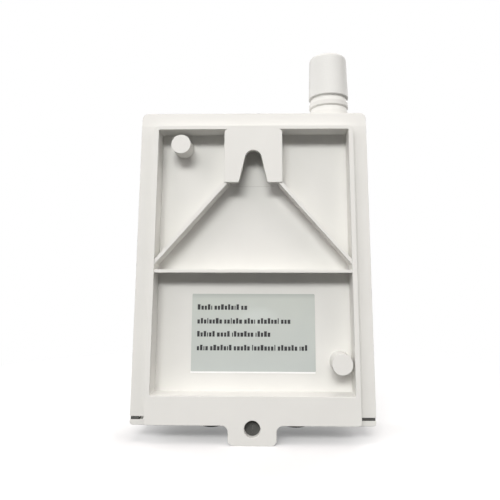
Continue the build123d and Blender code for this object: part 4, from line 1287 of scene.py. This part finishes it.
@dataclass(frozen=True)
class Lamp:
    """One soft lamp that looks at the object.

    Attributes:
        around: degrees round the object from the back's side to the right.
        up: degrees above level.
        share: the light that it gives a surface facing it, where 1 is a plain full white.
        width: its width as the object sees it, in degrees, as is its height.
    """

    name: str
    around: float
    up: float
    share: float
    width: float
    height: float
    colour: Colour = (1.0, 1.0, 1.0)

    def build(self, aim: Vector, distance: float) -> None:
        """Hangs the lamp up.

        Args:
            aim: what it looks at.
            distance: how far from there it hangs.
        """
        round_about, above = math.radians(self.around), math.radians(self.up)
        level = math.cos(above)
        away = Vector((math.sin(round_about) * level, -math.cos(round_about) * level, math.sin(above)))
        data = bpy.data.lights.new(self.name, "AREA")
        data.shape = "ELLIPSE"
        data.size = 2 * distance * math.tan(math.radians(self.width / 2))
        data.size_y = 2 * distance * math.tan(math.radians(self.height / 2))
        data.energy = self.share * (math.pi * distance) ** 2
        data.color = self.colour
        lamp = placed(self.name, data)
        lamp.location = aim + away * distance
        lamp.rotation_euler = away.to_track_quat("Z", "Y").to_euler()


@dataclass
class Studio:
    """The floor, lamps, surroundings and camera.

    Attributes:
        floor_tone: how pale the floor is to the eye.
        floor_bounce: how much light it throws back up.
        glow_near: how far it is white by itself near the object, which keeps the shadow pale.
        white_from: the distance from which it fades to white.
        lamp_distance: how far the lamps hang from the object, in metres.
        air: the even light from all sides.
        gloss_air: the even light that shiny surfaces mirror.
        focal_px: the camera's focal length, in pixels of the frame.
        centre_px: where its axis meets the frame.
        sensor_across: the width of its sensor, a little less than the side, so that views from
            other sides stand far enough back to hold the whole antenna.
    """

    floor_height: float = -4.7
    floor_radius: float = 1600.0
    floor_segments: int = 96
    floor_tone: float = 0.9
    floor_bounce: float = 0.12
    glow_near: float = 0.22
    white_from: float = 60.0
    white_at: float = 200.0
    lamps: tuple[Lamp, ...] = (
        Lamp("key_lamp", -7.0, 30.0, 0.76, 34.0, 13.0, (1.0, 1.0, 0.985)),
        Lamp("left_lamp", -52.0, 30.0, 0.36, 40.0, 36.0, (1.0, 0.955, 0.96)),
        Lamp("right_lamp", 62.0, 30.0, 0.32, 40.0, 40.0, (1.0, 0.945, 0.935)),
        Lamp("overhead_lamp", -5.0, 78.0, 0.28, 34.0, 34.0, (1.0, 0.93, 0.92)),
        Lamp("front_lamp", 165.0, 16.0, 0.50, 16.0, 16.0, (1.0, 0.99, 0.975)),
        Lamp("right_side_lamp", 135.0, 20.0, 0.32, 24.0, 24.0),
        Lamp("left_side_lamp", -125.0, 20.0, 0.36, 24.0, 24.0),
    )
    lamp_distance: float = 2.0
    aim_height: float = 50.0
    air: float = 0.06
    gloss_air: float = 0.3
    camera_place: Point = (5.49, -153.31, 45.03)
    pitch: float = 9.202
    yaw: float = 1.15
    roll: float = 0.094
    focal_px: float = 480.0
    centre_px: Pair = (260.5, 200.0)
    frame_px: float = 500.0
    sensor: float = 36.0
    sensor_across: float = 30.0
    nearest: float = 5.0

    def build(self) -> None:
        """Sets everything up."""
        self.add_floor()
        for lamp in self.lamps:
            lamp.build(UP * self.aim_height * MM, self.lamp_distance)
        self.add_air()
        self.add_camera()

    def add_floor(self) -> None:
        """Lays the pale floor, which is white away from the object and keeps its shadow."""
        shape = bmesh.new()
        place = Matrix.Translation(UP * self.floor_height * MM)
        radius, segments = self.floor_radius * MM, self.floor_segments
        bmesh.ops.create_circle(shape, cap_ends=True, radius=radius, segments=segments, matrix=place)
        mesh = bpy.data.meshes.new("floor")
        shape.to_mesh(mesh)
        shape.free()
        floor = placed("floor", mesh)
        g = Graph(bpy.data.materials.new("pale_floor"))
        rays = g.node("ShaderNodeLightPath").outputs
        seen = g.maths("MAXIMUM", rays["Is Camera Ray"], rays["Is Glossy Ray"])
        seen = g.maths("MAXIMUM", seen, rays["Is Transmission Ray"])
        tone = g.mix(seen, (self.floor_bounce,) * 3, (self.floor_tone,) * 3)
        matt = g.node("ShaderNodeBsdfDiffuse", {"Color": tone}).outputs[0]
        glow = g.node("ShaderNodeEmission", {"Color": PLAIN_WHITE, "Strength": 1.0}).outputs[0]
        away = g.node("ShaderNodeVectorMath", {0: g.place}, operation="LENGTH").outputs["Value"]
        far = g.ramp(away, self.white_from * MM, self.white_at * MM, self.glow_near, 1.0)
        share = g.maths("MULTIPLY", far, seen)
        g.close(g.node("ShaderNodeMixShader", {0: share, 1: matt, 2: glow}).outputs[0])
        floor.data.materials.append(g.owner)

    def add_air(self) -> None:
        """Surrounds the scene with even light, which is plain white where the camera sees it."""
        g = Graph(bpy.data.worlds.new("surroundings"), "ShaderNodeOutputWorld")
        bpy.context.scene.world = g.owner
        rays = g.node("ShaderNodeLightPath").outputs
        strength = g.maths("MULTIPLY", rays["Is Glossy Ray"], self.gloss_air)
        for other in (rays["Is Camera Ray"], rays["Is Transmission Ray"], self.air):
            strength = g.maths("MAXIMUM", strength, other)
        light = {"Color": PLAIN_WHITE, "Strength": strength}
        g.close(g.node("ShaderNodeBackground", light).outputs[0])

    def add_camera(self) -> None:
        """Places the camera as the photograph's."""
        data = bpy.data.cameras.new("camera")
        data.sensor_fit = "VERTICAL"
        data.sensor_height = self.sensor
        data.sensor_width = self.sensor_across
        data.lens = self.focal_px / self.frame_px * self.sensor
        data.shift_x = (self.frame_px / 2 - self.centre_px[0]) / self.frame_px
        data.shift_y = (self.centre_px[1] - self.frame_px / 2) / self.frame_px
        data.clip_start = self.nearest * MM
        camera = placed("camera", data)
        turn = Matrix.Rotation(math.radians(self.yaw), 4, "Z")
        turn @= Matrix.Rotation(math.radians(90.0 + self.pitch), 4, "X")
        turn @= Matrix.Rotation(math.radians(self.roll), 4, "Z")
        camera.matrix_world = Matrix.Translation([c * MM for c in self.camera_place]) @ turn
        bpy.context.scene.camera = camera


def main() -> None:
    """Builds every sub-assembly, then the studio."""
    logging.basicConfig(level=logging.INFO, format="%(message)s")
    for assembly in (WallTray(), FrontShell(), CircuitBoard()):
        assembly.build()
    Studio().build()
    bpy.context.scene.view_settings.view_transform = "Standard"


if __name__ == "__main__":
    main()
